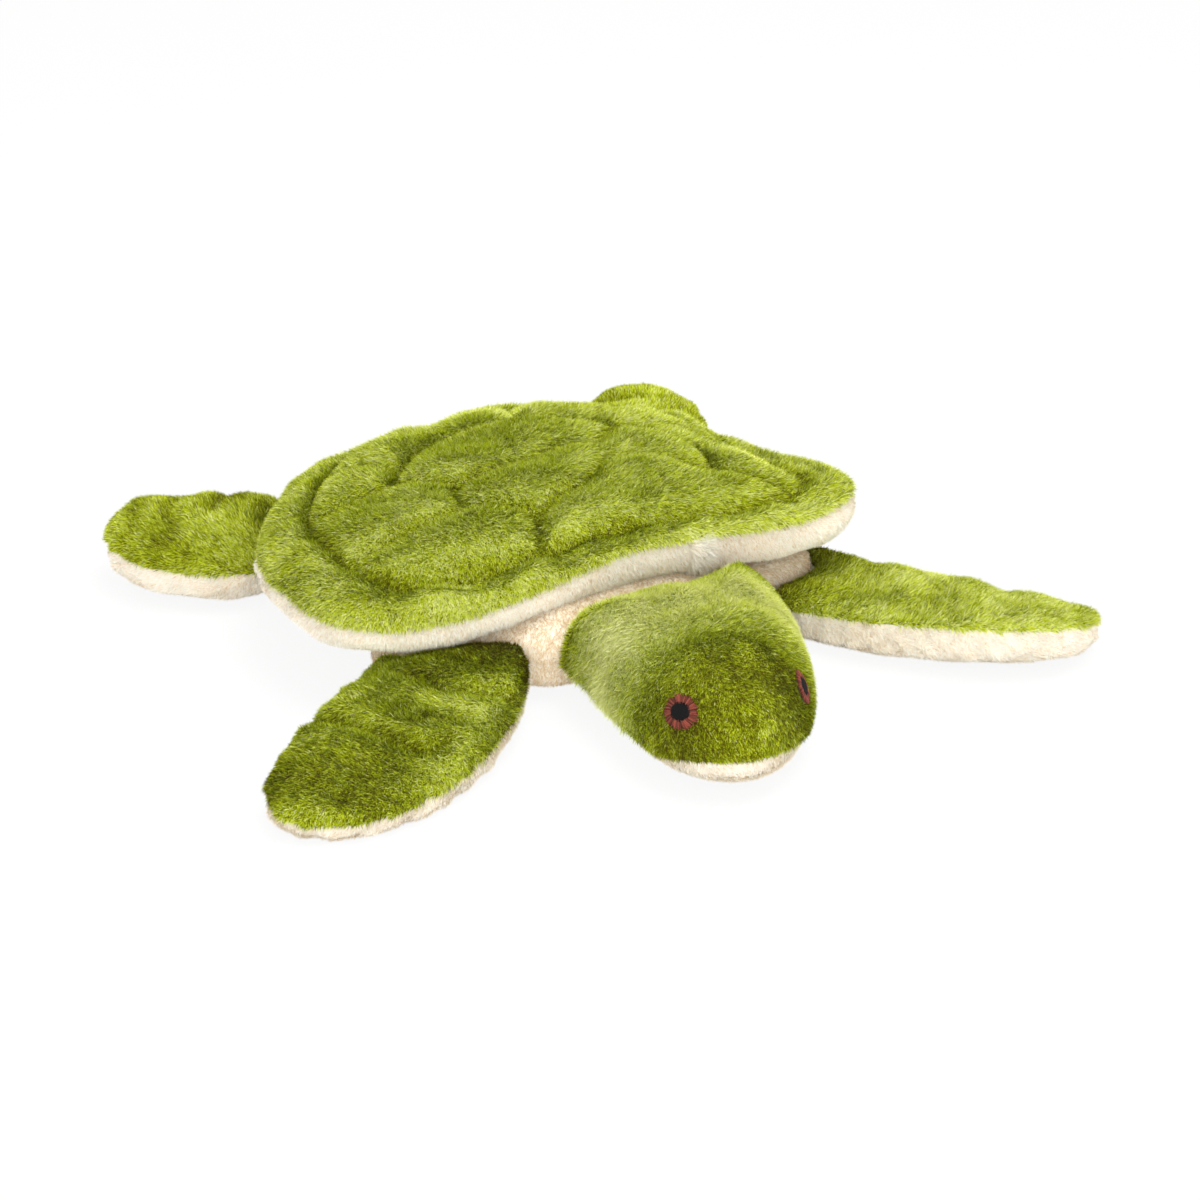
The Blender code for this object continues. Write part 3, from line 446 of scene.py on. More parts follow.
# %% The panel class
class Panel:
    """A grid of points in rings and columns, with outward normals and the painted light and shade of the
    pile on it.
    """

    def __init__(self, points, outward, wraps=True, shade=None):
        self.points, self.wraps = points, wraps
        along = np.gradient(points, axis=0)
        if wraps:
            around = np.roll(points, -1, 1) - np.roll(points, 1, 1)
        else:
            around = np.gradient(points, axis=1)
        normal = np.cross(around, along)
        self.turned = 1.0 if normal[..., 2].mean() * outward > 0.0 else -1.0
        length = np.linalg.norm(normal, axis=2, keepdims=True)
        normal = normal * self.turned / np.maximum(length, 1e-12)
        if np.allclose(points[0], points[0, :1]):
            pole = normal[1].mean(0)
            normal[0] = pole / np.linalg.norm(pole)
        self.normal = normal
        self.shade = np.zeros(points.shape[:2]) if shade is None else shade

    def part(self, first, last):
        """The same panel between two columns."""
        columns = np.arange(first, last + 1) % self.points.shape[1]
        part = Panel.__new__(Panel)
        part.points, part.normal = self.points[:, columns], self.normal[:, columns]
        part.shade, part.wraps, part.turned = self.shade[:, columns], False, self.turned
        return part


def object_of(name, points, faces, material):
    """A smooth mesh object at the origin."""
    mesh = bpy.data.meshes.new(name)
    mesh.from_pydata(points.tolist(), [], faces)
    mesh.shade_smooth()
    mesh.materials.append(material)
    made = bpy.data.objects.new(name, mesh)
    bpy.context.scene.collection.objects.link(made)
    return made


def dress(name, panel, hub, material):
    """The panel's cloth: its grid, and a hidden fan from its edge to a hub that closes it."""
    rows, columns = panel.points.shape[:2]
    pole = np.allclose(panel.points[0], panel.points[0, :1])
    grid = np.arange(rows * columns).reshape(rows, columns)
    if pole:
        grid = grid - (columns - 1)
        grid[0] = 0
        points = np.vstack([panel.points[0, :1], panel.points[1:].reshape(-1, 3)])
    else:
        points = panel.points.reshape(-1, 3)
    ahead = np.roll(grid, -1, 1) if panel.wraps else grid[:, 1:]
    here = grid if panel.wraps else grid[:, :-1]
    quads = np.stack([here[:-1], here[1:], ahead[1:], ahead[:-1]], -1).reshape(-1, 4)
    if panel.wraps:
        rim = np.append(grid[-1], grid[-1, 0])
        loops = [rim] if pole else [rim, np.append(grid[0], grid[0, 0])[::-1]]
    else:
        low = grid[0, :1] if pole else grid[0][::-1]
        loops = [np.concatenate([low, grid[1:, 0], grid[-1, 1:], grid[-2::-1, -1]])]
    centre = len(points)
    fans = [
        (int(a), centre, int(b))
        for loop in loops for a, b in zip(loop[:-1], loop[1:]) if a != b
    ]
    faces = [tuple(q) if q[0] != q[3] else (q[0], q[1], q[2]) for q in quads.tolist()] + fans
    if panel.turned > 0:
        faces = [face[::-1] for face in faces]
    return object_of(name, np.vstack([points, hub]), faces, material)


# %% [markdown]
# ## Pile
#
# Blender's own hair is left out of an exported model, so each fibre here is a
# real blade: one long triangle from root to tip. One triangle is enough for
# fibres of two to four millimetres, and so there can be many of them. The pile
# is brushed down, so blades lie over more than they stand, and their ways differ.


# %% The pile
# How much fibres differ: their way, lean and twist in degrees, and their lightness.
WAY_SPREAD, LEAN_SPREAD, TWIST_SPREAD, TONE_SPREAD = 34.0, 11.0, 22.0, 0.30
LENGTH_SHARES, HALF_WIDTH_SHARES = (0.70, 1.15), (0.38, 0.62)
# How large swirls, brushed patches and flecks are, and what patches and flecks change; the patches'
# change of lightness is a painted sheen on the brushed nap.
SWIRL_SIZE, PATCH_SIZE, FLECK_SIZE = 0.022, 0.040, 0.009
PATCH_LEAN, PATCH_SHEEN, FLECK_TONE = 3.0, 0.06, 0.04
# What a full valley takes from a fibre's length, and the painted shade it puts on the fibre's lightness.
VALLEY_SHORTER, VALLEY_PAINTED_SHADE = 0.40, 0.48
LEAST_LEAN, MOST_LEAN = 8.0, 84.0
SHORT_NAP = dict(length=0.0022, width=0.00038, lean=64.0)


def scatter(panel, count, draw):
    """Random places on a panel, as many to each cell as its area asks."""
    p = panel.points
    far = np.roll(p, -1, 1) if panel.wraps else p[:, 1:]
    near = p if panel.wraps else p[:, :-1]
    area = np.linalg.norm(np.cross(far[1:] - near[:-1], near[1:] - far[:-1]), axis=2).ravel()
    edges = np.cumsum(area)
    cell = np.searchsorted(edges, draw.uniform(0, edges[-1], count))
    columns = near.shape[1]
    row, column = cell // columns, cell % columns
    after = (column + 1) % p.shape[1]
    u, v = draw.uniform(size=(2, count, 1))

    def read(grid):
        low = grid[row, column] * (1 - u) + grid[row, after] * u
        high = grid[row + 1, column] * (1 - u) + grid[row + 1, after] * u
        return low * (1 - v) + high * v

    return read(p), unit(read(panel.normal)), read(panel.shade[..., None])[:, 0], edges[-1] / 2


def pile(name, panel, count, nap, material, seed, length=0.0034, width=0.00040, lean=56.0,
         swirl=14.0, tone=0.5, keep=None, floor=0.0002):
    """Blades on a panel: root + length times a direction that tips from the normal to the nap.

    A blade's foot runs along the side vector, turned a little about the blade. The
    UV map holds lightness across and the way from root to tip along. Where the
    panel's shade says that a valley lies, blades are shorter and painted darker as shade.
    """
    draw = np.random.default_rng(seed)
    root, normal, shade, area = scatter(panel, count, draw)
    if keep is not None:
        kept = keep(root)
        root, normal, shade = root[kept], normal[kept], shade[kept]
    count = len(root)
    way = nap(root)
    way = unit(way - (way * normal).sum(1, keepdims=True) * normal)
    side = np.cross(normal, way)
    turn = np.radians(
        swirl * waves(root, SWIRL_SIZE, seed + 1) + draw.normal(0, WAY_SPREAD, count))
    way = way * np.cos(turn)[:, None] + side * np.sin(turn)[:, None]
    side = np.cross(normal, way)
    brushed = waves(root, PATCH_SIZE, seed + 2)
    tipped = lean + PATCH_LEAN * brushed + draw.normal(0, LEAN_SPREAD, count)
    tipped = np.radians(np.clip(tipped, LEAST_LEAN, MOST_LEAN))[:, None]
    reach = length * draw.uniform(*LENGTH_SHARES, count)
    reach = (reach * (1.0 - VALLEY_SHORTER * np.clip(shade, 0, 1)))[:, None]
    tip = root + reach * (normal * np.cos(tipped) + way * np.sin(tipped))
    twist = np.radians(draw.normal(0, TWIST_SPREAD, count))[:, None]
    face = side * np.cos(twist) + normal * np.sin(twist)
    half = (width * draw.uniform(*HALF_WIDTH_SHARES, count))[:, None]
    points = np.stack([root - face * half, root + face * half, tip], 1).reshape(-1, 3)
    points[:, 2] = np.maximum(points[:, 2], floor)
    # A painted sheen over the brushed patches, and flecks of random tone.
    light = tone + PATCH_SHEEN * brushed + FLECK_TONE * waves(root, FLECK_SIZE, seed + 3)
    # Painted shade: fibres darker where the panel's shade is high.
    light = light + draw.normal(0, TONE_SPREAD, count) - VALLEY_PAINTED_SHADE * shade
    light = np.clip(light, 0.01, 0.99)
    mesh = bpy.data.meshes.new(name)
    mesh.vertices.add(count * 3)
    mesh.vertices.foreach_set("co", points.astype(np.float32).ravel())
    mesh.loops.add(count * 3)
    mesh.loops.foreach_set("vertex_index", np.arange(count * 3, dtype=np.int32))
    mesh.polygons.add(count)
    mesh.polygons.foreach_set("loop_start", np.arange(count, dtype=np.int32) * 3)
    mesh.update(calc_edges=True)
    mesh.validate()
    across = light[:, None] + np.array([-1, 1, 0]) * 0.004
    along = np.broadcast_to([0.02, 0.02, 0.98], across.shape)
    layer = mesh.uv_layers.new(name="OFBake")
    layer.data.foreach_set("uv", np.stack([across, along], -1).astype(np.float32).ravel())
    mesh.materials.append(material)
    made = bpy.data.objects.new(name, mesh)
    bpy.context.scene.collection.objects.link(made)
    print(name, count, "fibres on", round(area * 1e6), "sq mm")
    return made


def along_bearing(degrees, fall=0.0):
    """A nap that lies along one bearing, and falls or rises by a share."""
    way = np.array([*heading(degrees), -fall])
    return lambda root: np.broadcast_to(way, root.shape)


# %% [markdown]
# ## Stuffed forms
#
# A stuffed limb could be inflated by a cloth simulation. A formula is steadier
# and keeps to the solids: in plan it draws the seam in towards the middle, and in
# height it adds a crown that falls to nothing at the seam. The power near the
# edge says how plump the side is.


# %% The pillow
# How far the cloth lies inside the solid's face, and its least height over the floor.
SKIN_SINK, LEAST_HEIGHT = 0.0006, 0.0006


def pillow(outline, middle, seam, middle_seam, height, powers, side, rings, power=CROWN_POWER):
    """A crowned panel: height times (1 - share to a power) to the edge's own power."""
    span = outline - middle
    span = span * (1.0 - SKIN_SINK / np.hypot(*span.T)[:, None])
    share = ring_shares(rings)
    plan = middle + share[..., None] * span[None]
    level = middle_seam + share * (seam - middle_seam)[None]
    bulge = np.clip(1.0 - share ** power, 0.0, 1.0) ** powers[None]
    z = level + side * (height - SKIN_SINK) * bulge
    if side < 0:
        z = np.maximum(z, LEAST_HEIGHT)
    return np.concatenate([plan, z[..., None]], -1)


def root_points(columns, steps=28):
    """The sewn root in plan: the trunk's seam pushed out by the seat gap, and its base."""
    ends = np.array(columns) * COLUMN_DEGREES
    angles = np.linspace(ends[0], ends[1], steps)
    line = trunk_edge(angles)
    out = line - SHELL_MIDDLE
    line = line + SEAT_GAP * out / np.hypot(*out.T)[:, None]
    base = trunk_edge(np.arange(columns[0], columns[1] + 1) * COLUMN_DEGREES).mean(0)
    return line, base


def bezier(a, b, c, d, steps):
    """A cubic Bezier curve in equal steps of its parameter, ends included."""
    t = np.linspace(0.0, 1.0, steps + 1)[:, None]
    s = 1.0 - t
    return s ** 3 * a + 3 * s * s * t * b + 3 * s * t * t * c + t ** 3 * d


EDGE_STEPS, LIMB_RINGS = 56, 36


def limb_plan(columns, degrees, length, widths, shares, ease):
    """A limb's seam in plan, root first, and how far each point is from the sewn root."""
    root, base = root_points(columns)
    way, aside = heading(degrees), heading(degrees + 90.0)
    tip = base + way * length

    def place(along, out):
        return base + way * length * along + aside * out

    left = bezier(root[-1], *[place(a, widths[1] * b) for a, b in shares[1]], tip, EDGE_STEPS)
    right = bezier(tip, *[place(a, -widths[0] * b) for a, b in shares[0][::-1]], root[0], EDGE_STEPS)
    outline = np.vstack([root[:-1], left[:-1], right[:-1]])
    steps = np.arange(EDGE_STEPS) / EDGE_STEPS * ease
    away = np.concatenate([np.zeros(len(root) - 1), steps, (steps[::-1] + ease / EDGE_STEPS)])
    return outline, base, len(root) - 1, np.clip(away, 0.0, 1.0)


# %% [markdown]
# ## The quilted shell
#
# The shell's top is one green panel, stitched through its padding. The lines
# of stitching were read off the photograph in front; behind the crown, where
# it shows nothing, they go on as the front ones do. The quilting could be
# sculpted, but a valley worked out from the distance to each line follows the
# line exactly: the cloth is pulled down there, and the pads swell between.

# %% Shell lines
STITCHED_LINES = (
    ((-0.0223, -0.0521), (-0.0290, -0.0455), (-0.0472, -0.0406), (-0.0695, -0.0411),
     (-0.0960, -0.0459)),
    ((-0.0223, -0.0521), (-0.0270, -0.0605), (-0.0311, -0.0700)),
    ((-0.0223, -0.0521), (-0.0120, -0.0478), (-0.0006, -0.0457), (0.0085, -0.0380),
     (0.0187, -0.0292), (0.0307, -0.0298), (0.0420, -0.0361), (0.0503, -0.0429),
     (0.0587, -0.0483), (0.0680, -0.0590), (0.0820, -0.0700)),
    ((-0.0472, -0.0406), (-0.0456, -0.0273), (-0.0389, -0.0191)),
    ((-0.0900, -0.0045), (-0.0736, -0.0034), (-0.0588, -0.0086), (-0.0361, -0.0180),
     (-0.0153, -0.0158), (0.0091, -0.0104), (0.0227, -0.0113), (0.0345, -0.0030),
     (0.0600, 0.0060), (0.0930, 0.0050)),
    ((-0.0611, -0.0071), (-0.0529, 0.0073), (-0.0565, 0.0200), (-0.0760, 0.0330)),
    ((-0.0529, 0.0073), (-0.0370, 0.0190), (-0.0160, 0.0270), (0.0083, 0.0275), (0.0310, 0.0210),
     (0.0430, 0.0010)),
    ((0.0587, -0.0483), (0.0630, -0.0270), (0.0530, -0.0090), (0.0430, 0.0010)),
    ((0.0590, -0.0180), (0.0780, -0.0220), (0.0960, -0.0270)),
    ((0.0340, 0.0170), (0.0540, 0.0290), (0.0700, 0.0430)),
    ((-0.0160, 0.0270), (-0.0230, 0.0460), (-0.0300, 0.0620)),
    ((0.0100, 0.0275), (0.0180, 0.0460), (0.0230, 0.0630)),
)
BORDER_SHARES = ((0.0, 0.85), (30.0, 0.88), (60.0, 0.85), (110.0, 0.82), (180.0, 0.81),
                 (250.0, 0.81), (285.0, 0.83), (305.0, 0.86), (325.0, 0.84), (360.0, 0.85))
GROOVE_DEPTH, GROOVE_REACH = 0.0047, 0.0032
# Towards the back the valleys are up to this much fainter.
BACK_DEGREES, BACK_RUN, BACK_START, BACK_FAINTER = 150.0, 0.10, 0.35, 0.55
KNOTS = ((-0.0223, -0.0521), (0.0587, -0.0483))
KNOT_SHARE, KNOT_REACH = 0.55, 0.0045
# Two stretches where the padding lies flat: bearing, spread in degrees, depth.
FLAT_STRETCHES = ((74.0, 22.0, 0.0075), (207.0, 22.0, 0.0070))
FLAT_START, FLAT_RUN, LEAST_OVER_RIM = 0.45, 0.35, 0.0012
# Pads swell beside a stitched line, and the cloth waves, more so outside the border.
PAD_SWELL, PAD_REACH = 0.0014, 0.008
WAVE_DEPTH, WAVE_SIZE, BORDER_WAVE_DEPTH, BORDER_WAVE_SIZE = 0.0007, 0.030, 0.0013, 0.022
BORDER_START, EDGE_FADE = 0.82, 0.06
# A painted highlight on the pile along a pad's shoulder, this far from the line.
SHOULDER_PAINTED_LIGHT, SHOULDER_PLACE, SHOULDER_SPREAD = 0.16, 0.0062, 0.0026

shell_angles = np.arange(360) * 1.0
quilting = [smooth_line(line, 8) for line in STITCHED_LINES]
border_share = np.interp(shell_angles, *np.array(BORDER_SHARES).T)
border = round_shell(shell_angles, rim_reach(shell_angles) * border_share)
quilting.append(np.vstack([border, border[:1]])[::3])
print("stitched lines", len(quilting), "steps", sum(len(line) for line in quilting))


# %% Shell top
def shell_top(rings=104):
    """Crown over the rim, less a valley along each stitched line, plus a soft unevenness.

    The crown is its height times (1 - share to a power) to the edge's own power, and
    each valley falls off as e to the minus distance over its reach.
    """
    share = ring_shares(rings)
    reach = rim_reach(shell_angles) - SKIN_SINK
    plan = round_shell(np.broadcast_to(shell_angles, (rings + 1, 360)), share * reach)
    edge = rim_height(plan)
    bulge = (1 - share ** SHELL_CROWN_POWER) ** SHELL_EDGE_POWER
    crown = edge + (SHELL_CROWN_HEIGHT - SKIN_SINK - edge) * bulge
    near = distance_to(plan, quilting)
    valley = np.exp(-(near / GROOVE_REACH))
    back = (plan - SHELL_MIDDLE) @ heading(BACK_DEGREES) / BACK_RUN - BACK_START
    valley = valley * (1.0 - np.clip(back, 0.0, BACK_FAINTER))
    for knot in KNOTS:
        gap = np.hypot(*(plan - np.array(knot)).transpose(2, 0, 1))
        valley = valley + KNOT_SHARE * hill(gap, 0.0, KNOT_REACH)
    fade = slope(1.0 - share, 0.0, EDGE_FADE)
    flat = np.concatenate([plan, crown[..., None]], -1)
    swell = PAD_SWELL * (1.0 - hill(near, 0.0, PAD_REACH))
    outside = slope(share, BORDER_START, EDGE_FADE) * fade
    z = crown - (GROOVE_DEPTH * valley - swell) * fade
    z = z + WAVE_DEPTH * waves(flat, WAVE_SIZE, 11) * fade
    z = z + BORDER_WAVE_DEPTH * waves(flat, BORDER_WAVE_SIZE, 13) * outside
    band = slope(share, FLAT_START, FLAT_RUN) * slope(1.0 - share, 0.0, SEAM_FADE)
    for bearing, spread, depth in FLAT_STRETCHES:
        pressed = z - depth * band * hill(shell_angles, bearing, spread)
        z = np.maximum(pressed, np.minimum(z, edge + LEAST_OVER_RIM))
    shoulder = hill(near, SHOULDER_PLACE, SHOULDER_SPREAD)
    # Painted shade in the stitched valleys and at the knots, less a painted highlight on the pads'
    # shoulders.
    shade = valley * fade - SHOULDER_PAINTED_LIGHT * shoulder * fade
    return Panel(np.concatenate([plan, z[..., None]], -1), 1.0, shade=shade)


shell_panel = shell_top()
shell_skin = dress(
    "shell_top_plush", shell_panel, np.array([[*SHELL_MIDDLE, RIM_HEIGHT]]), GREEN_BACKING
)
print("shell top", len(shell_skin.data.polygons), "faces")


# %% Shell pile
def shell_nap(root):
    """The shell's pile lies outwards from the middle, and mostly towards the front."""
    out = (root[:, :2] - SHELL_MIDDLE) / 0.09
    return np.column_stack([out[:, 0] * 0.9, out[:, 1] * 0.7 - 0.55, np.full(len(root), -0.35)])


shell_piles = [
    pile(f"shell_top_pile_{number}", shell_panel, 195000, shell_nap, GREEN_PILE, 21 + 10 * number,
         tone=0.54 + 0.04 * number)
    for number in range(2)
]

# %% [markdown]
# ## The rolled rim and the shell's underside
#
# The cream underside comes up round the edge as a soft roll and is sewn to the
# green top there. A torus would be too even. Its profile is one smooth curve from
# the seam, round the roll, and in underneath to the body, carried round the shell,
# so that its depth can change with the bearing.


# %% Shell underside
# A round knob in the roll: bearing and spread in degrees, more depth, and how far it puffs.
KNOB_DEGREES, KNOB_SPREAD, KNOB_DEPTH, KNOB_PUFF = 51.0, 7.0, 0.30, 0.0022
ROLL_WAVE_DEPTH, ROLL_WAVE_SIZE = 0.0006, 0.020


def shell_roll(rows=44):
    """A profile of reach and height, smooth through six places, at each bearing."""
    angles = shell_angles
    reach = rim_reach(angles)
    edge = rim_height(round_shell(angles, reach))
    depth = edge * RIM_ROLL_SHARE
    trunk_reach = np.hypot(*(trunk_edge(angles) - SHELL_MIDDLE).T)
    rim = np.column_stack([round_shell(angles, reach), edge])
    puff = ROLL_WAVE_DEPTH * waves(rim, ROLL_WAVE_SIZE, 17)
    knob = hill(angles, KNOB_DEGREES, KNOB_SPREAD)
    depth = depth * (1.0 + KNOB_DEPTH * knob)
    puff = puff + KNOB_PUFF * knob
    inner = np.minimum(trunk_reach * 0.80, reach - 0.0190)
    knots = (
        (reach - 0.0012, edge - 0.0004),
        (reach + 0.0002 + puff, edge - 0.35 * depth),
        (reach - 0.0008 + puff, edge - 0.72 * depth + puff),
        (reach - 0.0052, edge - 0.93 * depth + puff),
        (reach - 0.0130, edge - 0.84 * depth),
        (inner, np.full_like(reach, TRUNK_BACK_HEIGHT - 0.0040)),
    )
    profile = np.stack([np.stack(knot, -1) for knot in knots])
    flat = smooth_line(profile.reshape(len(knots), -1), rows // (len(knots) - 1))
    flat = flat.reshape(-1, len(angles), 2)
    plan = round_shell(np.broadcast_to(angles, flat.shape[:2]), flat[..., 0])
    return Panel(np.concatenate([plan, flat[..., 1:]], -1), -1.0)


roll_panel = shell_roll()
roll_hub = np.array([[*SHELL_MIDDLE, TRUNK_BACK_HEIGHT + 0.004]])
roll_skin = dress("shell_under_plush", roll_panel, roll_hub, CREAM_BACKING)


def roll_nap(root):
    """The roll's pile lies outwards and down."""
    out = unit(root[:, :2] - SHELL_MIDDLE)
    return np.column_stack([out * 0.5, np.full(len(root), -1.0)])


SHOWN_DEPTH = 0.026


def near_rim(root):
    """True within 26 millimetres of the rim, where the pile shows."""
    out = root[:, :2] - SHELL_MIDDLE
    return rim_reach(bearing_of(root)) - np.hypot(*out.T) < SHOWN_DEPTH


roll_pile = pile("shell_under_pile", roll_panel, 190000, roll_nap, CREAM_PILE, 41, length=0.0022,
                 width=0.00036, lean=64.0, tone=0.75, keep=near_rim)

# The roll's own seam lies by the head, and its pile is brushed up there into a tuft.
TUFT_DEGREES = (17, 23)
tuft_pile = pile("shell_tuft_pile", roll_panel.part(*TUFT_DEGREES), 2600, roll_nap, CREAM_PILE, 45,
                 length=0.0046, width=0.00034, lean=34.0, swirl=50.0, tone=0.85, keep=near_rim)

# %% [markdown]
# ## The stuffed body
#
# Under the shell the body is a cream pillow, flat where it lies. Little of it
# shows: the chest between the limbs, and the flanks from low down. It is made
# whole all the same, because the toy can be turned over.

# %% Body
trunk_angles = np.arange(240) * 1.5
# The collar is a soft rise round the chest that meets the roll, and the flanks are drawn in.
COLLAR_RISE, COLLAR_DEGREES, COLLAR_SPREAD, FLANK_TUCK = 0.0085, 0.0, 28.0, 0.012
COLLAR_RING, COLLAR_WIDTH, FLANK_DEGREES, FLANK_SPREAD = 0.82, 0.13, 84.0, 20.0
BACK_EDGE_POWER, TRUNK_RINGS = 0.26, 48
from_front = np.abs((trunk_angles + 180.0) % 360.0 - 180.0)
flank = hill(from_front, FLANK_DEGREES, FLANK_SPREAD, 4)
trunk_outline = trunk_edge(trunk_angles)
trunk_out = trunk_outline - SHELL_MIDDLE
trunk_outline = trunk_outline - trunk_out * (FLANK_TUCK * flank / np.hypot(*trunk_out.T))[:, None]
trunk_seam = np.full(len(trunk_angles), TRUNK_SEAM_HEIGHT)
trunk_hub = np.array([[*SHELL_MIDDLE, TRUNK_SEAM_HEIGHT]])
trunk_panels = {}
trunk_skins = []
for name, side, height, power, plump in (
    ("body_back", 1.0, TRUNK_BACK_HEIGHT - TRUNK_SEAM_HEIGHT - 0.0002, CROWN_POWER, BACK_EDGE_POWER),
    ("belly", -1.0, TRUNK_SEAM_HEIGHT, BELLY_POWER, BELLY_EDGE_POWER),
):
    grid = pillow(trunk_outline, SHELL_MIDDLE, trunk_seam, TRUNK_SEAM_HEIGHT, height,
                  np.full(len(trunk_angles), plump), side, TRUNK_RINGS, power)
    if side > 0:
        front = hill(bearing_of(trunk_outline), COLLAR_DEGREES, COLLAR_SPREAD, 4)
        collar = front * hill(ring_shares(TRUNK_RINGS), COLLAR_RING, COLLAR_WIDTH)
        grid[..., 2] += COLLAR_RISE * collar
    trunk_panels[name] = Panel(grid, side)
    trunk_skins.append(dress(name + "_plush", trunk_panels[name], trunk_hub, CREAM_BACKING))


SHOWN_SHARE = 0.72


def outer_body(root):
    """True outside 0.72 of the way to the edge, the part of the body that can be seen."""
    out = root[:, :2] - SHELL_MIDDLE
    edge = np.hypot(*(trunk_edge(bearing_of(root)) - SHELL_MIDDLE).T)
    return np.hypot(*out.T) / edge > SHOWN_SHARE


# The body's low tones are partly the cloth's warmer peach and partly painted shade under the shell's
# roll.
trunk_piles = [
    pile("body_back_pile", trunk_panels["body_back"], 80000, roll_nap, CREAM_PILE, 51,
         tone=0.06, keep=outer_body, **SHORT_NAP),
    pile("belly_pile", trunk_panels["belly"], 90000, roll_nap, CREAM_PILE, 53,
         tone=0.22, keep=outer_body, **SHORT_NAP),
]

# %% [markdown]
# ## Flippers
#
# Each flipper is a green top and a cream underside sewn round one seam. The
# stuffing is slack, so the top creases across, and the cloth puckers a little
# along its seam. One function makes all four from a table, because they differ
# only in sizes, in the lie of their creases and in tone.

# %% Flipper sizes
# Creases across a flipper's top: places along and aside, as shares of its length, and a depth.
FRONT_CREASES = (
    (((0.24, -0.06), (0.27, 0.09), (0.25, 0.18), (0.19, 0.27)), 0.0032),
    (((0.56, -0.20), (0.58, 0.03), (0.59, 0.11), (0.57, 0.17), (0.49, 0.21)), 0.0038),
    (((0.46, 0.13), (0.39, 0.21)), 0.0020),
    (((0.06, 0.30), (0.28, 0.31), (0.52, 0.31)), 0.0016),
    (((0.88, -0.06), (0.89, 0.05), (0.91, 0.15)), 0.0012),
)
CREASES = (
    (((0.20, -0.20), (0.27, 0.00), (0.25, 0.14)), 0.0024),
    (((0.44, -0.34), (0.49, -0.12), (0.52, 0.06)), 0.0024),
    (((0.70, 0.30), (0.68, 0.12), (0.72, 0.00)), 0.0016),
)
SOFT_CREASES = tuple((places, depth * 0.5) for places, depth in CREASES)
REAR_LEAD = ((0.30, 1.30), (0.98, 1.05))
REAR_TRAIL = ((0.35, 1.05), (0.98, 1.05))
# The flippers' tones differ by painted light and shade: the rear flippers and the front right are set
# darker and the front left lighter, as the light falls on them; far_shade paints shade over the far end.
FLIPPERS = (
    dict(name="front_right_flipper", joint="front_right_flap", columns=(-8, -4), degrees=-52.0,
         length=0.1200, widths=(0.0302, 0.0405),
         shares=(((0.37, 0.96), (1.10, 1.20)), ((0.26, 1.17), (0.90, 1.02))), middle_share=0.50,
         crown=0.0105, under=0.0135, tip=0.0070, lift=-0.0040, seed=61, fibres=82000,
         creases=FRONT_CREASES, tone=0.42, far_shade=0.45, shoulder=0.0065,
         lead_rise=0.0010, notch=0.0035, under_power=0.32, root_shade_reach=0.011),
    dict(name="front_left_flipper", joint="front_left_flap", columns=(5, 9), degrees=42.0,
         length=0.1225, widths=(0.0440, 0.0185),
         shares=(((0.30, 0.98), (1.02, 1.17)), ((0.37, 0.82), (1.08, 1.22))), middle_share=0.50,
         crown=0.0072, under=0.0190, tip=0.0140, lift=0.0085, seed=71, fibres=78000,
         creases=SOFT_CREASES, tone=0.58, shoulder=0.0020, root_shade_reach=0.016),
    dict(name="rear_right_flipper", joint="rear_right_flap", columns=(-20, -16), degrees=-117.0,
         length=0.0910, widths=(0.0310, 0.0390), shares=(REAR_TRAIL, REAR_LEAD), middle_share=0.60,
         crown=0.0138, under=0.0165, tip=0.0185, lift=0.0, seed=81, fibres=62000,
         creases=CREASES, tone=0.34, far_shade=0.10, shoulder=0.0020, root_shade_reach=0.010),
    dict(name="rear_left_flipper", joint="rear_left_flap", columns=(15, 20), degrees=138.0,
         length=0.0910, widths=(0.0345, 0.0275), shares=(REAR_LEAD, REAR_TRAIL), middle_share=0.60,
         crown=0.0120, under=0.0160, tip=0.0245, lift=0.0, seed=91, fibres=58000,
         creases=CREASES, tone=0.34, far_shade=0.10, root_shade_reach=0.010),
)
# A crease's reach, and the share, place and spread of the swelling beside it.
CREASE_REACH, CREASE_SWELL, CREASE_BESIDE, CREASE_SPREAD = 0.0034, 0.30, 0.0080, 0.0032
# The first is the painted shade at a sewn root under the shell, the second the underside's power near
# the root.
ROOT_PAINTED_SHADE, UNDER_ROOT = 1.5, 0.34


def crease_valley(plan, base, degrees, length, creases):
    """Each crease's depth times a fall with distance, less a swelling 8 mm beside the line."""
    way, aside = heading(degrees), heading(degrees + 90.0)
    valley = np.zeros(plan.shape[:-1])
    for places, depth in creases:
        line = smooth_line([base + way * length * a + aside * length * b for a, b in places], 6)
        near = distance_to(plan, [line])
        swell = CREASE_SWELL * hill(near, CREASE_BESIDE, CREASE_SPREAD)
        valley += depth * (np.exp(-near / CREASE_REACH) - swell)
    return valley


def root_shade(grid, base, degrees, reach):
    """Painted shade: a deeper tone close to the sewn root, where the pile lies in the shell's shadow."""
    away = np.maximum((grid[..., :2] - base) @ heading(degrees), 0.0)
    return ROOT_PAINTED_SHADE * np.exp(-away / reach)


def bend_at(piece):
    """Bake the piece's transform into its mesh."""
    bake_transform(piece)


# %% One flipper
# A shallow unevenness of the top and puckers along the seam: depth and size.
FLIPPER_WAVE, PUCKER = (0.0007, 0.024), (0.0006, 0.010)
NOTCH_PLACE, NOTCH_SPREAD, NOTCH_RUN, LEAD_RUN, SHOULDER_RUN = 0.57, 0.035, 0.2, 0.25, 0.17
# The depth that gives a crease its full shade, and where the far end's shade sets in.
FULL_SHADE_DEPTH, FAR_START, FAR_RUN = 0.0050, 0.45, 0.35
FLIPPER_EASE = 3.0


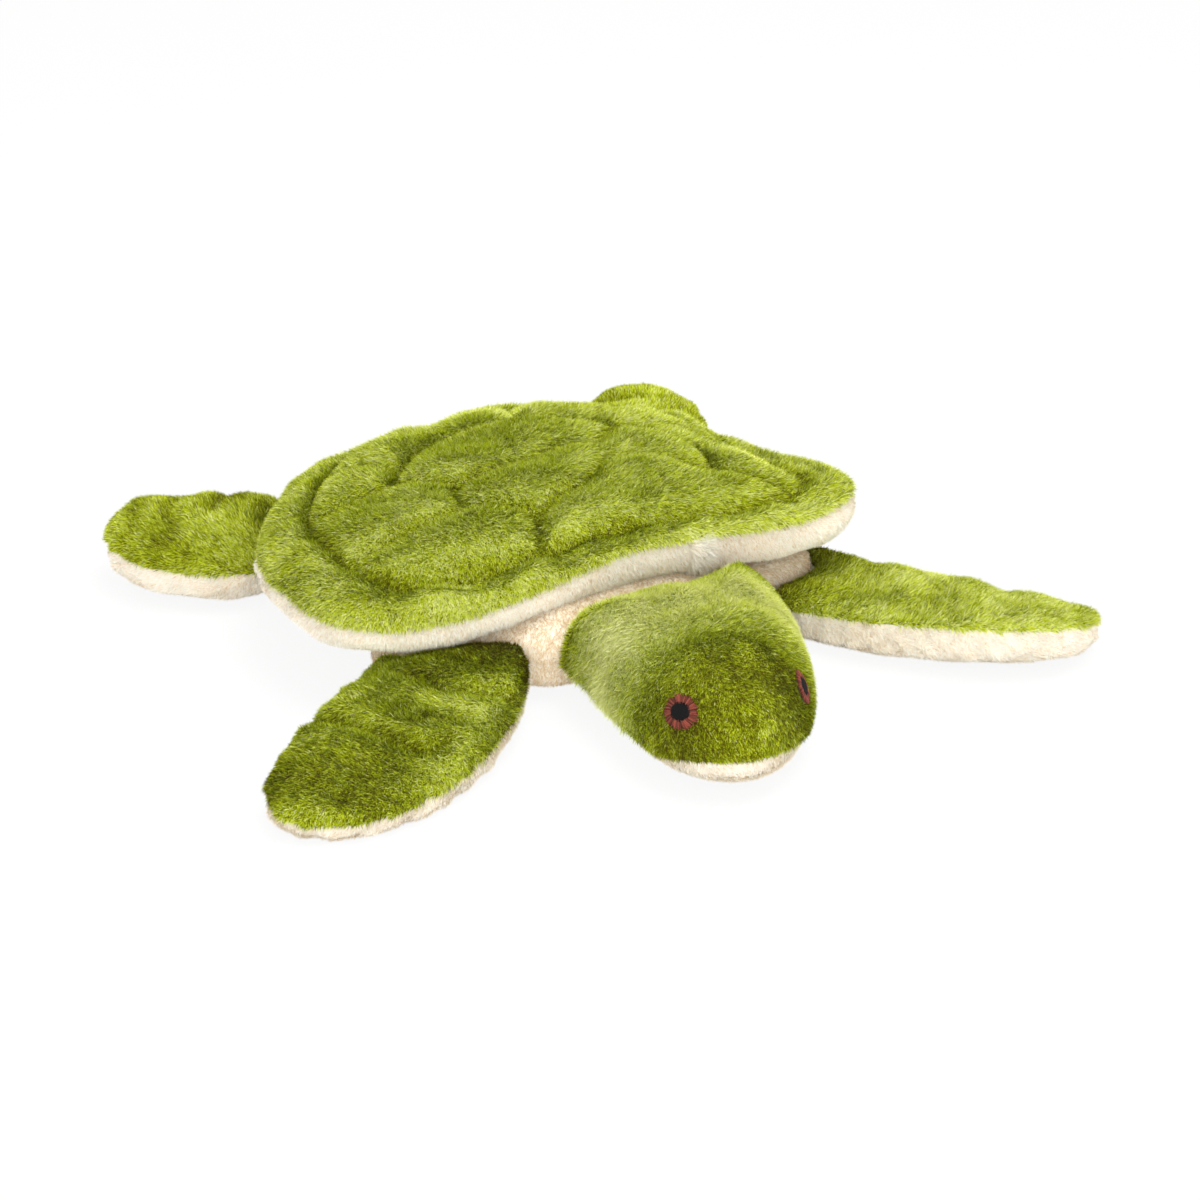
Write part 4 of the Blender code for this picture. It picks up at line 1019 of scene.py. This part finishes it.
def flipper_top_form(grid, inside, base, degrees, length, creases, far_shade, shoulder, root_shade_reach):
    """Press the creases in, lift the shoulder, and return the pile's painted shade."""
    valley = crease_valley(grid[..., :2], base, degrees, length, creases) * inside
    grid[..., 2] -= valley
    along = (grid[..., :2] - base) @ heading(degrees) / length
    grid[..., 2] += shoulder * hill(np.maximum(along, 0.0), 0.0, SHOULDER_RUN) * inside
    shade = valley / FULL_SHADE_DEPTH + root_shade(grid, base, degrees, root_shade_reach)
    return shade + far_shade * slope(along, FAR_START, FAR_RUN)


def make_flipper(name, joint, columns, degrees, length, widths, shares, middle_share, crown,
                 under, tip, lift, seed, fibres, creases, tone, root_shade_reach, far_shade=0.0,
                 shoulder=0.0, lead_rise=0.0, notch=0.0, under_power=UNDER):
    """Top, underside and their pile, for one flipper."""
    outline, base, _, away = limb_plan(columns, degrees, length, widths, shares, FLIPPER_EASE)
    way, aside = heading(degrees), heading(degrees + 90.0)
    middle = base + way * length * middle_share
    along = np.clip((outline - base) @ way / length, 0.0, 1.0)
    across = (outline - base) @ aside / sum(widths)
    rise = lead_rise * slope(across, 0.0, LEAD_RUN)
    seam = TRUNK_SEAM_HEIGHT + (tip - TRUNK_SEAM_HEIGHT) * along
    seam = seam + 2.0 * lift * across * along * np.sign(-degrees) + rise
    dent = hill(along, NOTCH_PLACE, NOTCH_SPREAD) * slope(-across, 0.0, NOTCH_RUN)
    outline = outline + aside * (notch * dent)[:, None]
    middle_seam = TRUNK_SEAM_HEIGHT + (tip - TRUNK_SEAM_HEIGHT) * middle_share
    hub = np.array([[*middle, middle_seam]])
    nap = along_bearing(degrees, 0.15)
    share = ring_shares(LIMB_RINGS)
    inside = slope(1.0 - share, 0.0, SEAM_FADE)
    for end, side, height, root_power, plump, backing, fur, amount, blades in (
        ("top", 1.0, crown, ROOT, PLUMP, GREEN_BACKING, GREEN_PILE, fibres, dict(tone=tone)),
        ("under", -1.0, under + rise, UNDER_ROOT, under_power, CREAM_BACKING, CREAM_PILE,
         int(fibres * 0.8), dict(tone=0.75, **SHORT_NAP)),
    ):
        powers = root_power + (plump - root_power) * away
        grid = pillow(outline, middle, seam, middle_seam, height, powers, side, LIMB_RINGS)
        shade = np.zeros(grid.shape[:2])
        if side > 0:
            shade = flipper_top_form(
                grid, inside, base, degrees, length, creases, far_shade, shoulder, root_shade_reach)
        rough = waves(grid, FLIPPER_WAVE[1], seed + 7)
        grid[..., 2] += FLIPPER_WAVE[0] * rough * inside * (1.0 if side > 0 else 0.3)
        pucker = PUCKER[0] * waves(grid, PUCKER[1], seed + 8) * slope(share, 0.0, 0.9) ** 6
        grid[..., :2] += unit(grid[..., :2] - middle) * pucker[..., None]
        grid[..., 2] = np.maximum(grid[..., 2], LEAST_HEIGHT)
        panel = Panel(grid, side, shade=shade)
        skin = dress(f"{name}_{end}_plush", panel, hub, backing)
        cover = pile(f"{name}_{end}_pile", panel, amount, nap, fur,
                     seed + int(side > 0) * 3, **blades)
        for piece in (skin, cover):
            bend_at(piece)
    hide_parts(name + "_top_panel", name + "_stuffing")
    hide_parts(name + "_under_panel")


# %% Flippers
for flipper in FLIPPERS:
    make_flipper(**flipper)

# %% [markdown]
# ## The head
#
# A plump wedge: two green panels meet in a shallow seam from neck to snout, and
# a cream chin is sewn in below. Both green panels are cut from one grid, so that
# they meet along the seam without a gap. The pile is combed forward.

# %% Head
HEAD = dict(columns=(-3, 4), degrees=-11.0, length=0.1020, half_width=0.0430, crown=0.0390,
            under=0.0100, seam=0.0115, middle_along=0.0440,
            sides=(((0.20, 0.95), (1.02, 1.06)), ((0.22, 1.20), (0.95, 0.84))))
HEAD_EASE, HEAD_RINGS = 27.0 / 11.0, 60
CHIN_RISE, CHEEK_TUCK, CHIN_TUCK, NECK_RISE = 0.0055, 0.0030, 0.0025, 0.0025
# Shares of the head's length: the chin's rise, the cheek's tuck and the neck's rise.
CHIN_RISE_START, CHIN_RISE_RUN, CHEEK_RUN, NECK_RUN = 0.78, 0.22, 0.85, 0.20
HEAD_SEAM_DEPTH, HEAD_SEAM_REACH, HEAD_SEAM_SHADE, HEAD_ROOT_SHADE_REACH = 0.0011, 0.0022, 0.20, 0.009
HEAD_WAVE_DEPTH, HEAD_WAVE_SIZE, CHIN_SLIMMER = 0.0006, 0.026, 0.16
# Painted light and shade along the head: a painted highlight on the pile over the brow, and painted
# shade over the snout.
BROW_PAINTED_LIGHT, BROW_PLACE, BROW_SPREAD = 0.95, 0.34, 0.20
SNOUT_PAINTED_SHADE, SNOUT_START, SNOUT_RUN = 1.05, 0.50, 0.30
HEAD_WAY, HEAD_ASIDE = heading(HEAD["degrees"]), heading(HEAD["degrees"] + 90.0)

outline, head_base, neck_count, away = limb_plan(
    HEAD["columns"], HEAD["degrees"], HEAD["length"], (HEAD["half_width"],) * 2,
    HEAD["sides"], HEAD_EASE,
)
head_middle = head_base + HEAD_WAY * HEAD["middle_along"]
along = np.clip((outline - head_base) @ HEAD_WAY / HEAD["length"], 0.0, 1.0)
cheek = np.sin(math.pi * slope(along, 0.0, CHEEK_RUN))
cheek = cheek * ((outline - head_base) @ HEAD_ASIDE < 0.0)
outline = outline + HEAD_ASIDE * (CHEEK_TUCK * cheek)[:, None]
# The seam rises towards the snout, so that the cream chin shows from the front.
at_snout = slope(along, CHIN_RISE_START, CHIN_RISE_RUN)
chin_rise = CHIN_RISE * at_snout
head_seam = TRUNK_SEAM_HEIGHT + (HEAD["seam"] - TRUNK_SEAM_HEIGHT) * along + chin_rise
head_inside = slope(1.0 - ring_shares(HEAD_RINGS), 0.0, SEAM_FADE)

head_grid = pillow(outline, head_middle, head_seam, HEAD["seam"], HEAD["crown"],
                   NECK + (PLUMP - NECK) * away, 1.0, HEAD_RINGS)
offset = np.abs((head_grid[..., :2] - head_base) @ HEAD_ASIDE)
head_seam_valley = np.exp(-offset / HEAD_SEAM_REACH)
head_along = (head_grid[..., :2] - head_base) @ HEAD_WAY / HEAD["length"]
neck_share = hill(np.maximum(head_along, 0.0), 0.0, NECK_RUN)
head_grid[..., 2] += NECK_RISE * neck_share * head_inside ** 0.5
head_grid[..., 2] -= HEAD_SEAM_DEPTH * head_seam_valley * head_inside
head_grid[..., 2] += HEAD_WAVE_DEPTH * waves(head_grid, HEAD_WAVE_SIZE, 101) * head_inside
brow = hill(head_along, BROW_PLACE, BROW_SPREAD)
snout = slope(head_along, SNOUT_START, SNOUT_RUN)
# Painted shade along the seam and at the neck's root, then the painted brow highlight and snout shade.
head_shade = HEAD_SEAM_SHADE * head_seam_valley * head_inside
head_shade += root_shade(head_grid, head_base, HEAD["degrees"], HEAD_ROOT_SHADE_REACH)
head_panel = Panel(head_grid, 1.0, shade=head_shade - BROW_PAINTED_LIGHT * brow + SNOUT_PAINTED_SHADE * snout)

neck = neck_count // 2
nose = neck_count + EDGE_STEPS
head_hub = np.array([[*head_middle, HEAD["seam"]]])
halves = {
    "left": head_panel.part(neck, nose),
    "right": head_panel.part(nose, neck + len(outline)),
}
head_skins = {
    side: dress(f"head_top_{side}_plush", half, head_hub, GREEN_BACKING)
    for side, half in halves.items()
}
chin_out = outline - head_middle
chin_tuck = CHIN_TUCK * (1.0 - at_snout) / np.hypot(*chin_out.T)
chin_power = ROOT + (CHIN + CHIN_SLIMMER * (1.0 - at_snout) - ROOT) * away
chin_grid = pillow(outline - chin_out * chin_tuck[:, None], head_middle, head_seam, HEAD["seam"],
                   HEAD["under"] + chin_rise, chin_power, -1.0, LIMB_RINGS)
chin_panel = Panel(chin_grid, -1.0)
chin_skin = dress("chin_plush", chin_panel, head_hub, CREAM_BACKING)
print("head", len(outline), "columns")


# %% Eye places
EYE_PLACES = {"left": (0.0795, 0.0265), "right": (0.0850, -0.0230)}
IRIS_RADIUS, PUPIL_RADIUS = 0.0062, 0.0034


def eye_place(along, aside):
    """The grid point of the head nearest to the ray from its core through the eye's plan place."""
    core = np.array([*head_middle, HEAD["seam"]])
    plan = head_base + HEAD_WAY * along + HEAD_ASIDE * aside
    ray = unit(np.array([*plan, HEAD["seam"] + HEAD["crown"] / 2]) - core)
    out = unit(head_panel.points - core)
    best = np.unravel_index(np.argmax(out @ ray), out.shape[:2])
    return head_panel.points[best], head_panel.normal[best]


eyes = {side: eye_place(*places) for side, places in EYE_PLACES.items()}
for side, (place, normal) in eyes.items():
    print("eye", side, np.round(place * 1000, 1), "facing", np.round(normal, 2))


def bare_eyes(root):
    """False where a stitched eye covers the cloth."""
    return np.all([np.linalg.norm(root - place, axis=1) > IRIS_RADIUS - 0.0002
                   for place, _ in eyes.values()], axis=0)


# %% Head pile
head_nap = along_bearing(HEAD["degrees"], 0.35)
# The head's pile tone is set a little lighter than the shell's, as painted light on the head's top.
for number, (side, half) in enumerate(halves.items()):
    fur = pile(f"head_top_{side}_pile", half, 86000, head_nap, GREEN_PILE, 110 + 10 * number,
               length=0.0036, tone=0.60, keep=bare_eyes)
    bend_at(fur)
    bend_at(head_skins[side])
chin_pile = pile("chin_pile", chin_panel, 50000, head_nap, CREAM_PILE, 131, tone=0.75, **SHORT_NAP)
for piece in (chin_skin, chin_pile):
    bend_at(piece)

# %% [markdown]
# ## Stitched eyes
#
# Each eye is embroidered: a ring of red-brown satin stitches that run from the
# pupil outwards, and a black pupil of close stitches. A painted disc would look
# like a button, so every stitch is a small raised ridge that lies on the face.


# %% Thread finishes
TWISTS, TWIST_TONE = 40.0, 0.25


def thread_finish(name, deep, light, shine):
    """Twisted thread: fine stripes along each stitch, over the stitch's own tone."""
    finish = Finish(name, Roughness=shine, Specular_IOR_Level=0.3)
    tone, along = finish.fibre()
    twist = finish.node("Math", {"operation": "SINE"}, (along * TWISTS,)) * 0.5 + 0.5
    share = tone * (1.0 - TWIST_TONE) + twist * TWIST_TONE
    return finish.feed(Base_Color=finish.mix(deep, light, share))


IRIS_THREAD = thread_finish("iris_thread", screen(54, 24, 17), screen(160, 80, 62), 0.8)
PUPIL_THREAD = thread_finish("pupil_thread", screen(3, 3, 4), screen(17, 15, 18), 0.8)


# %% Stitches
STITCH_LIFT, FACE_REACH = 0.0012, 0.0085


def face_axes(normal):
    """Two unit vectors in the face: one level, and one up it."""
    level = np.cross(np.array([0.0, 0.0, 1.0]), normal)
    level /= np.linalg.norm(level)
    return level, np.cross(normal, level)


def quadric(a, b):
    """The six terms of a quadric over the face."""
    return np.stack([np.ones_like(a), a, b, a * a, a * b, b * b], -1)


def stitches(name, place, normal, starts, ends, widths, lifts, tones, material):
    """Ridges from start to end on the face: a half-round section, low at both ends.

    Points are start + (end - start) * t across the section's half turn, lifted by
    the sine of both, and dropped on to the face by a quadric fitted to it.
    """
    u, v = face_axes(normal)
    t = np.linspace(0.0, 1.0, 7)
    around = np.linspace(0.0, math.pi, 6)
    count = len(starts)
    line = starts[:, None] + (ends - starts)[:, None] * t[None, :, None]
    way = unit(ends - starts)
    aside = np.stack([-way[:, 1], way[:, 0]], -1)
    belly = 0.35 + 0.65 * np.sin(np.pi * np.clip(t, 0.04, 0.96)) ** 0.5
    spread = (widths[:, None] * belly)[..., None] * np.cos(around)
    flat = line[:, :, None, :] + spread[..., None] * aside[:, None, None, :]
    lift = (lifts[:, None] * belly)[..., None] * np.sin(around)
    world = place + flat[..., :1] * u + flat[..., 1:] * v
    world = settle(world, place, normal) + lift[..., None] * normal
    rows, columns = len(t), len(around)
    grid = np.arange(count * rows * columns).reshape(count, rows, columns)
    quads = np.stack([grid[:, :-1, :-1], grid[:, 1:, :-1], grid[:, 1:, 1:], grid[:, :-1, 1:]], -1)
    floors = np.stack([grid[:, :-1, 0], grid[:, :-1, -1], grid[:, 1:, -1], grid[:, 1:, 0]], -1)
    caps = np.concatenate([grid[:, 0, ::-1], grid[:, -1, :]])
    faces = quads.reshape(-1, 4).tolist() + floors.reshape(-1, 4).tolist() + caps.tolist()
    made = object_of(name, world.reshape(-1, 3), faces, material)
    tone = np.broadcast_to(tones[:, None, None], (count, rows, columns)).ravel()
    run = np.broadcast_to(t[None, :, None], (count, rows, columns)).ravel()
    corner = np.zeros(len(made.data.loops), np.int32)
    made.data.loops.foreach_get("vertex_index", corner)
    layer = made.data.uv_layers.new(name="OFBake")
    jitter = np.broadcast_to(np.cos(around) * 0.01, (count, rows, columns)).ravel()
    pairs = np.stack([tone + jitter, run], -1)[corner]
    layer.data.foreach_set("uv", pairs.astype(np.float32).ravel())
    return made


def settle(world, place, normal):
    """Drop points on to the face: its height over the tangent plane, fitted by a quadric."""
    near = head_panel.points.reshape(-1, 3)
    near = near[np.linalg.norm(near - place, axis=1) < FACE_REACH] - place
    u, v = face_axes(normal)
    terms = np.linalg.lstsq(quadric(near @ u, near @ v), near @ normal, rcond=None)[0]
    rel = world - place
    height = quadric(rel @ u, rel @ v) @ terms
    return world + (height + STITCH_LIFT)[..., None] * normal


EYE_STRETCH = {"left": 1.05, "right": 1.18}
RING_STITCHES, RING_SKEW, PUPIL_ROWS = 84, 0.09, 17
RING_HALF_WIDTH, RING_HEIGHT, PUPIL_HALF_WIDTH, PUPIL_HEIGHT = 0.00027, 0.00062, 0.00026, 0.0009


def embroider(side, seed):
    """The ring of outward stitches and the pupil's close rows, stretched a little across."""
    place, normal = eyes[side]
    draw = np.random.default_rng(seed)
    count = RING_STITCHES
    turn = np.linspace(0, 2 * np.pi, count, endpoint=False) + draw.normal(0, 0.02, count)
    inner = PUPIL_RADIUS - 0.0003 + draw.uniform(-0.0006, 0.0006, count)
    outer = IRIS_RADIUS + draw.uniform(-0.0006, 0.0004, count)
    ray = np.stack([np.cos(turn), np.sin(turn)], -1)
    skew = np.stack([np.cos(turn + RING_SKEW), np.sin(turn + RING_SKEW)], -1)
    wide = np.array([EYE_STRETCH[side], 1.0])
    iris = stitches(
        f"eye_iris_{side}_stitches", place, normal,
        ray * inner[:, None] * wide, skew * outer[:, None] * wide,
        np.full(count, RING_HALF_WIDTH), RING_HEIGHT + draw.uniform(0, 0.0002, count),
        np.clip(draw.normal(0.45, 0.32, count), 0.02, 0.98), IRIS_THREAD,
    )
    rows = PUPIL_ROWS
    across = np.linspace(-0.92, 0.92, rows) * PUPIL_RADIUS
    half = np.sqrt(PUPIL_RADIUS ** 2 - across ** 2) + draw.uniform(0.0, 0.0005, rows)
    pupil = stitches(
        f"eye_pupil_{side}_stitches", place, normal,
        np.stack([across, -half], -1) * wide, np.stack([across + 0.0002, half], -1) * wide,
        np.full(rows, PUPIL_HALF_WIDTH), np.full(rows, PUPIL_HEIGHT),
        np.clip(draw.normal(0.35, 0.25, rows), 0.02, 0.98), PUPIL_THREAD,
    )
    for piece, node, slot in ((iris, "eye_iris_", "iris_thread"), (pupil, "eye_pupil_", "pupil_thread")):
        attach(piece, "head")
        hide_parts(node + side)


for number, side in enumerate(eyes):
    embroider(side, 140 + number)
print("eyes stitched")

# %% [markdown]
# ## What moves with what
#
# The shell and the body ride on the trunk, and the stitched eyes on the head.
# The limbs' and the head's cloth and pile stay where they were made.

# %% Ride and replace
for piece in (shell_skin, *shell_piles, roll_skin, roll_pile, tuft_pile, *trunk_skins, *trunk_piles):
    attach(piece, "trunk")
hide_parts("shell_top_panel", "shell_batting")
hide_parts("shell_under_panel")
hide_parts("body_back_panel", "body_stuffing")
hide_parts("belly_panel")
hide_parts("head_top_panel_left", "head_stuffing")
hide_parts("head_top_panel_right")
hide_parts("chin_panel")

# %% [markdown]
# ## Floor and light
#
# A pale floor takes the shadow. The camera, and mirrored or clear surfaces if there
# were any, see it lifted towards white by Light Path, so that the background is
# bright and the toy is not over-lit. One soft lamp above gives form, and one from
# the camera's side opens the shade under the shell's rim.

# %% Floor
FLOOR_HALF, FLOOR_DROP, FLOOR_GLOW = 9.0, 0.0003, 0.90

floor_mesh = bpy.data.meshes.new("floor")
corners = [(x * FLOOR_HALF, y * FLOOR_HALF, 0.0) for x, y in ((-1, -1), (1, -1), (1, 1), (-1, 1))]
floor_mesh.from_pydata(corners, [], [(0, 1, 2, 3)])
floor = bpy.data.objects.new("floor", floor_mesh)
floor.location.z = -FLOOR_DROP
bpy.context.scene.collection.objects.link(floor)
paper = Finish("floor_paper", Roughness=0.9)
grain = paper.noise(paper.node("TexCoord", output=3), 6.0, 3.0)
paper.feed(Base_Color=paper.mix(screen(236, 236, 236), screen(244, 244, 244), grain))
straight = paper.node("LightPath", output=0) + paper.node("LightPath", output=3)
seen = straight + paper.node("LightPath", output=6)
glow = paper.node("Emission", inputs={"Color": (1, 1, 1, 1), "Strength": 1.0})
both = paper.node("MixShader", inputs={
    0: seen * FLOOR_GLOW, 1: Wire(paper, paper.shader.outputs[0]), 2: glow})
output = next(n for n in paper.tree.nodes if n.bl_idname == "ShaderNodeOutputMaterial")
paper.tree.links.new(both.socket, output.inputs["Surface"])
floor_mesh.materials.append(paper.material)
floor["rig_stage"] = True


# %% Light
ROOM_LIGHT, LAMP_SIDE = 0.76, 0.9
KEY_PLACE, KEY_POWER = (0.25, -0.25, 1.45), 15.5
FILL_PLACE, FILL_POWER = (-0.70, -1.30, 0.50), 10.5
LAMP_AIM = (0, 0, 0.02)

world = bpy.data.worlds.new("studio")
bpy.context.scene.world = world
world.use_nodes = True
tree = world.node_tree
room = tree.nodes["Background"]
room.inputs["Color"].default_value = (1.0, 1.0, 1.0, 1.0)
room.inputs["Strength"].default_value = ROOM_LIGHT
white = tree.nodes.new("ShaderNodeBackground")
white.inputs["Strength"].default_value = 1.0
path = tree.nodes.new("ShaderNodeLightPath")
mirrored = tree.nodes.new("ShaderNodeMath")
either = tree.nodes.new("ShaderNodeMath")
blend = tree.nodes.new("ShaderNodeMixShader")
for output, node, slot in (
    (path.outputs["Is Glossy Ray"], mirrored, 0), (path.outputs["Is Transmission Ray"], mirrored, 1),
    (path.outputs["Is Camera Ray"], either, 0), (mirrored.outputs[0], either, 1),
    (either.outputs[0], blend, 0),
):
    tree.links.new(output, node.inputs[slot])
tree.links.new(room.outputs[0], blend.inputs[1])
tree.links.new(white.outputs[0], blend.inputs[2])
tree.links.new(blend.outputs[0], tree.nodes["World Output"].inputs["Surface"])


def soft_lamp(name, place, power):
    """A square soft lamp that faces the toy."""
    lamp = bpy.data.lights.new(name, "AREA")
    lamp.size = LAMP_SIDE
    lamp.energy = power
    made = bpy.data.objects.new(name, lamp)
    made.location = place
    made.rotation_mode = "QUATERNION"
    made.rotation_quaternion = (Vector(LAMP_AIM) - Vector(place)).to_track_quat("-Z", "Y")
    bpy.context.scene.collection.objects.link(made)


soft_lamp("key_lamp", KEY_PLACE, KEY_POWER)
soft_lamp("fill_lamp", FILL_PLACE, FILL_POWER)
bpy.context.scene.view_settings.view_transform = "Standard"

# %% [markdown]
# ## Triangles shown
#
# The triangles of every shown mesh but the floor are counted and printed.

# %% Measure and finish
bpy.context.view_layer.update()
total = 0
for made in bpy.data.objects:
    if made.type == "MESH" and not made.hide_render and not made.get("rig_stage"):
        total += len(made.data.loops) - 2 * len(made.data.polygons)
print("triangles shown", total)
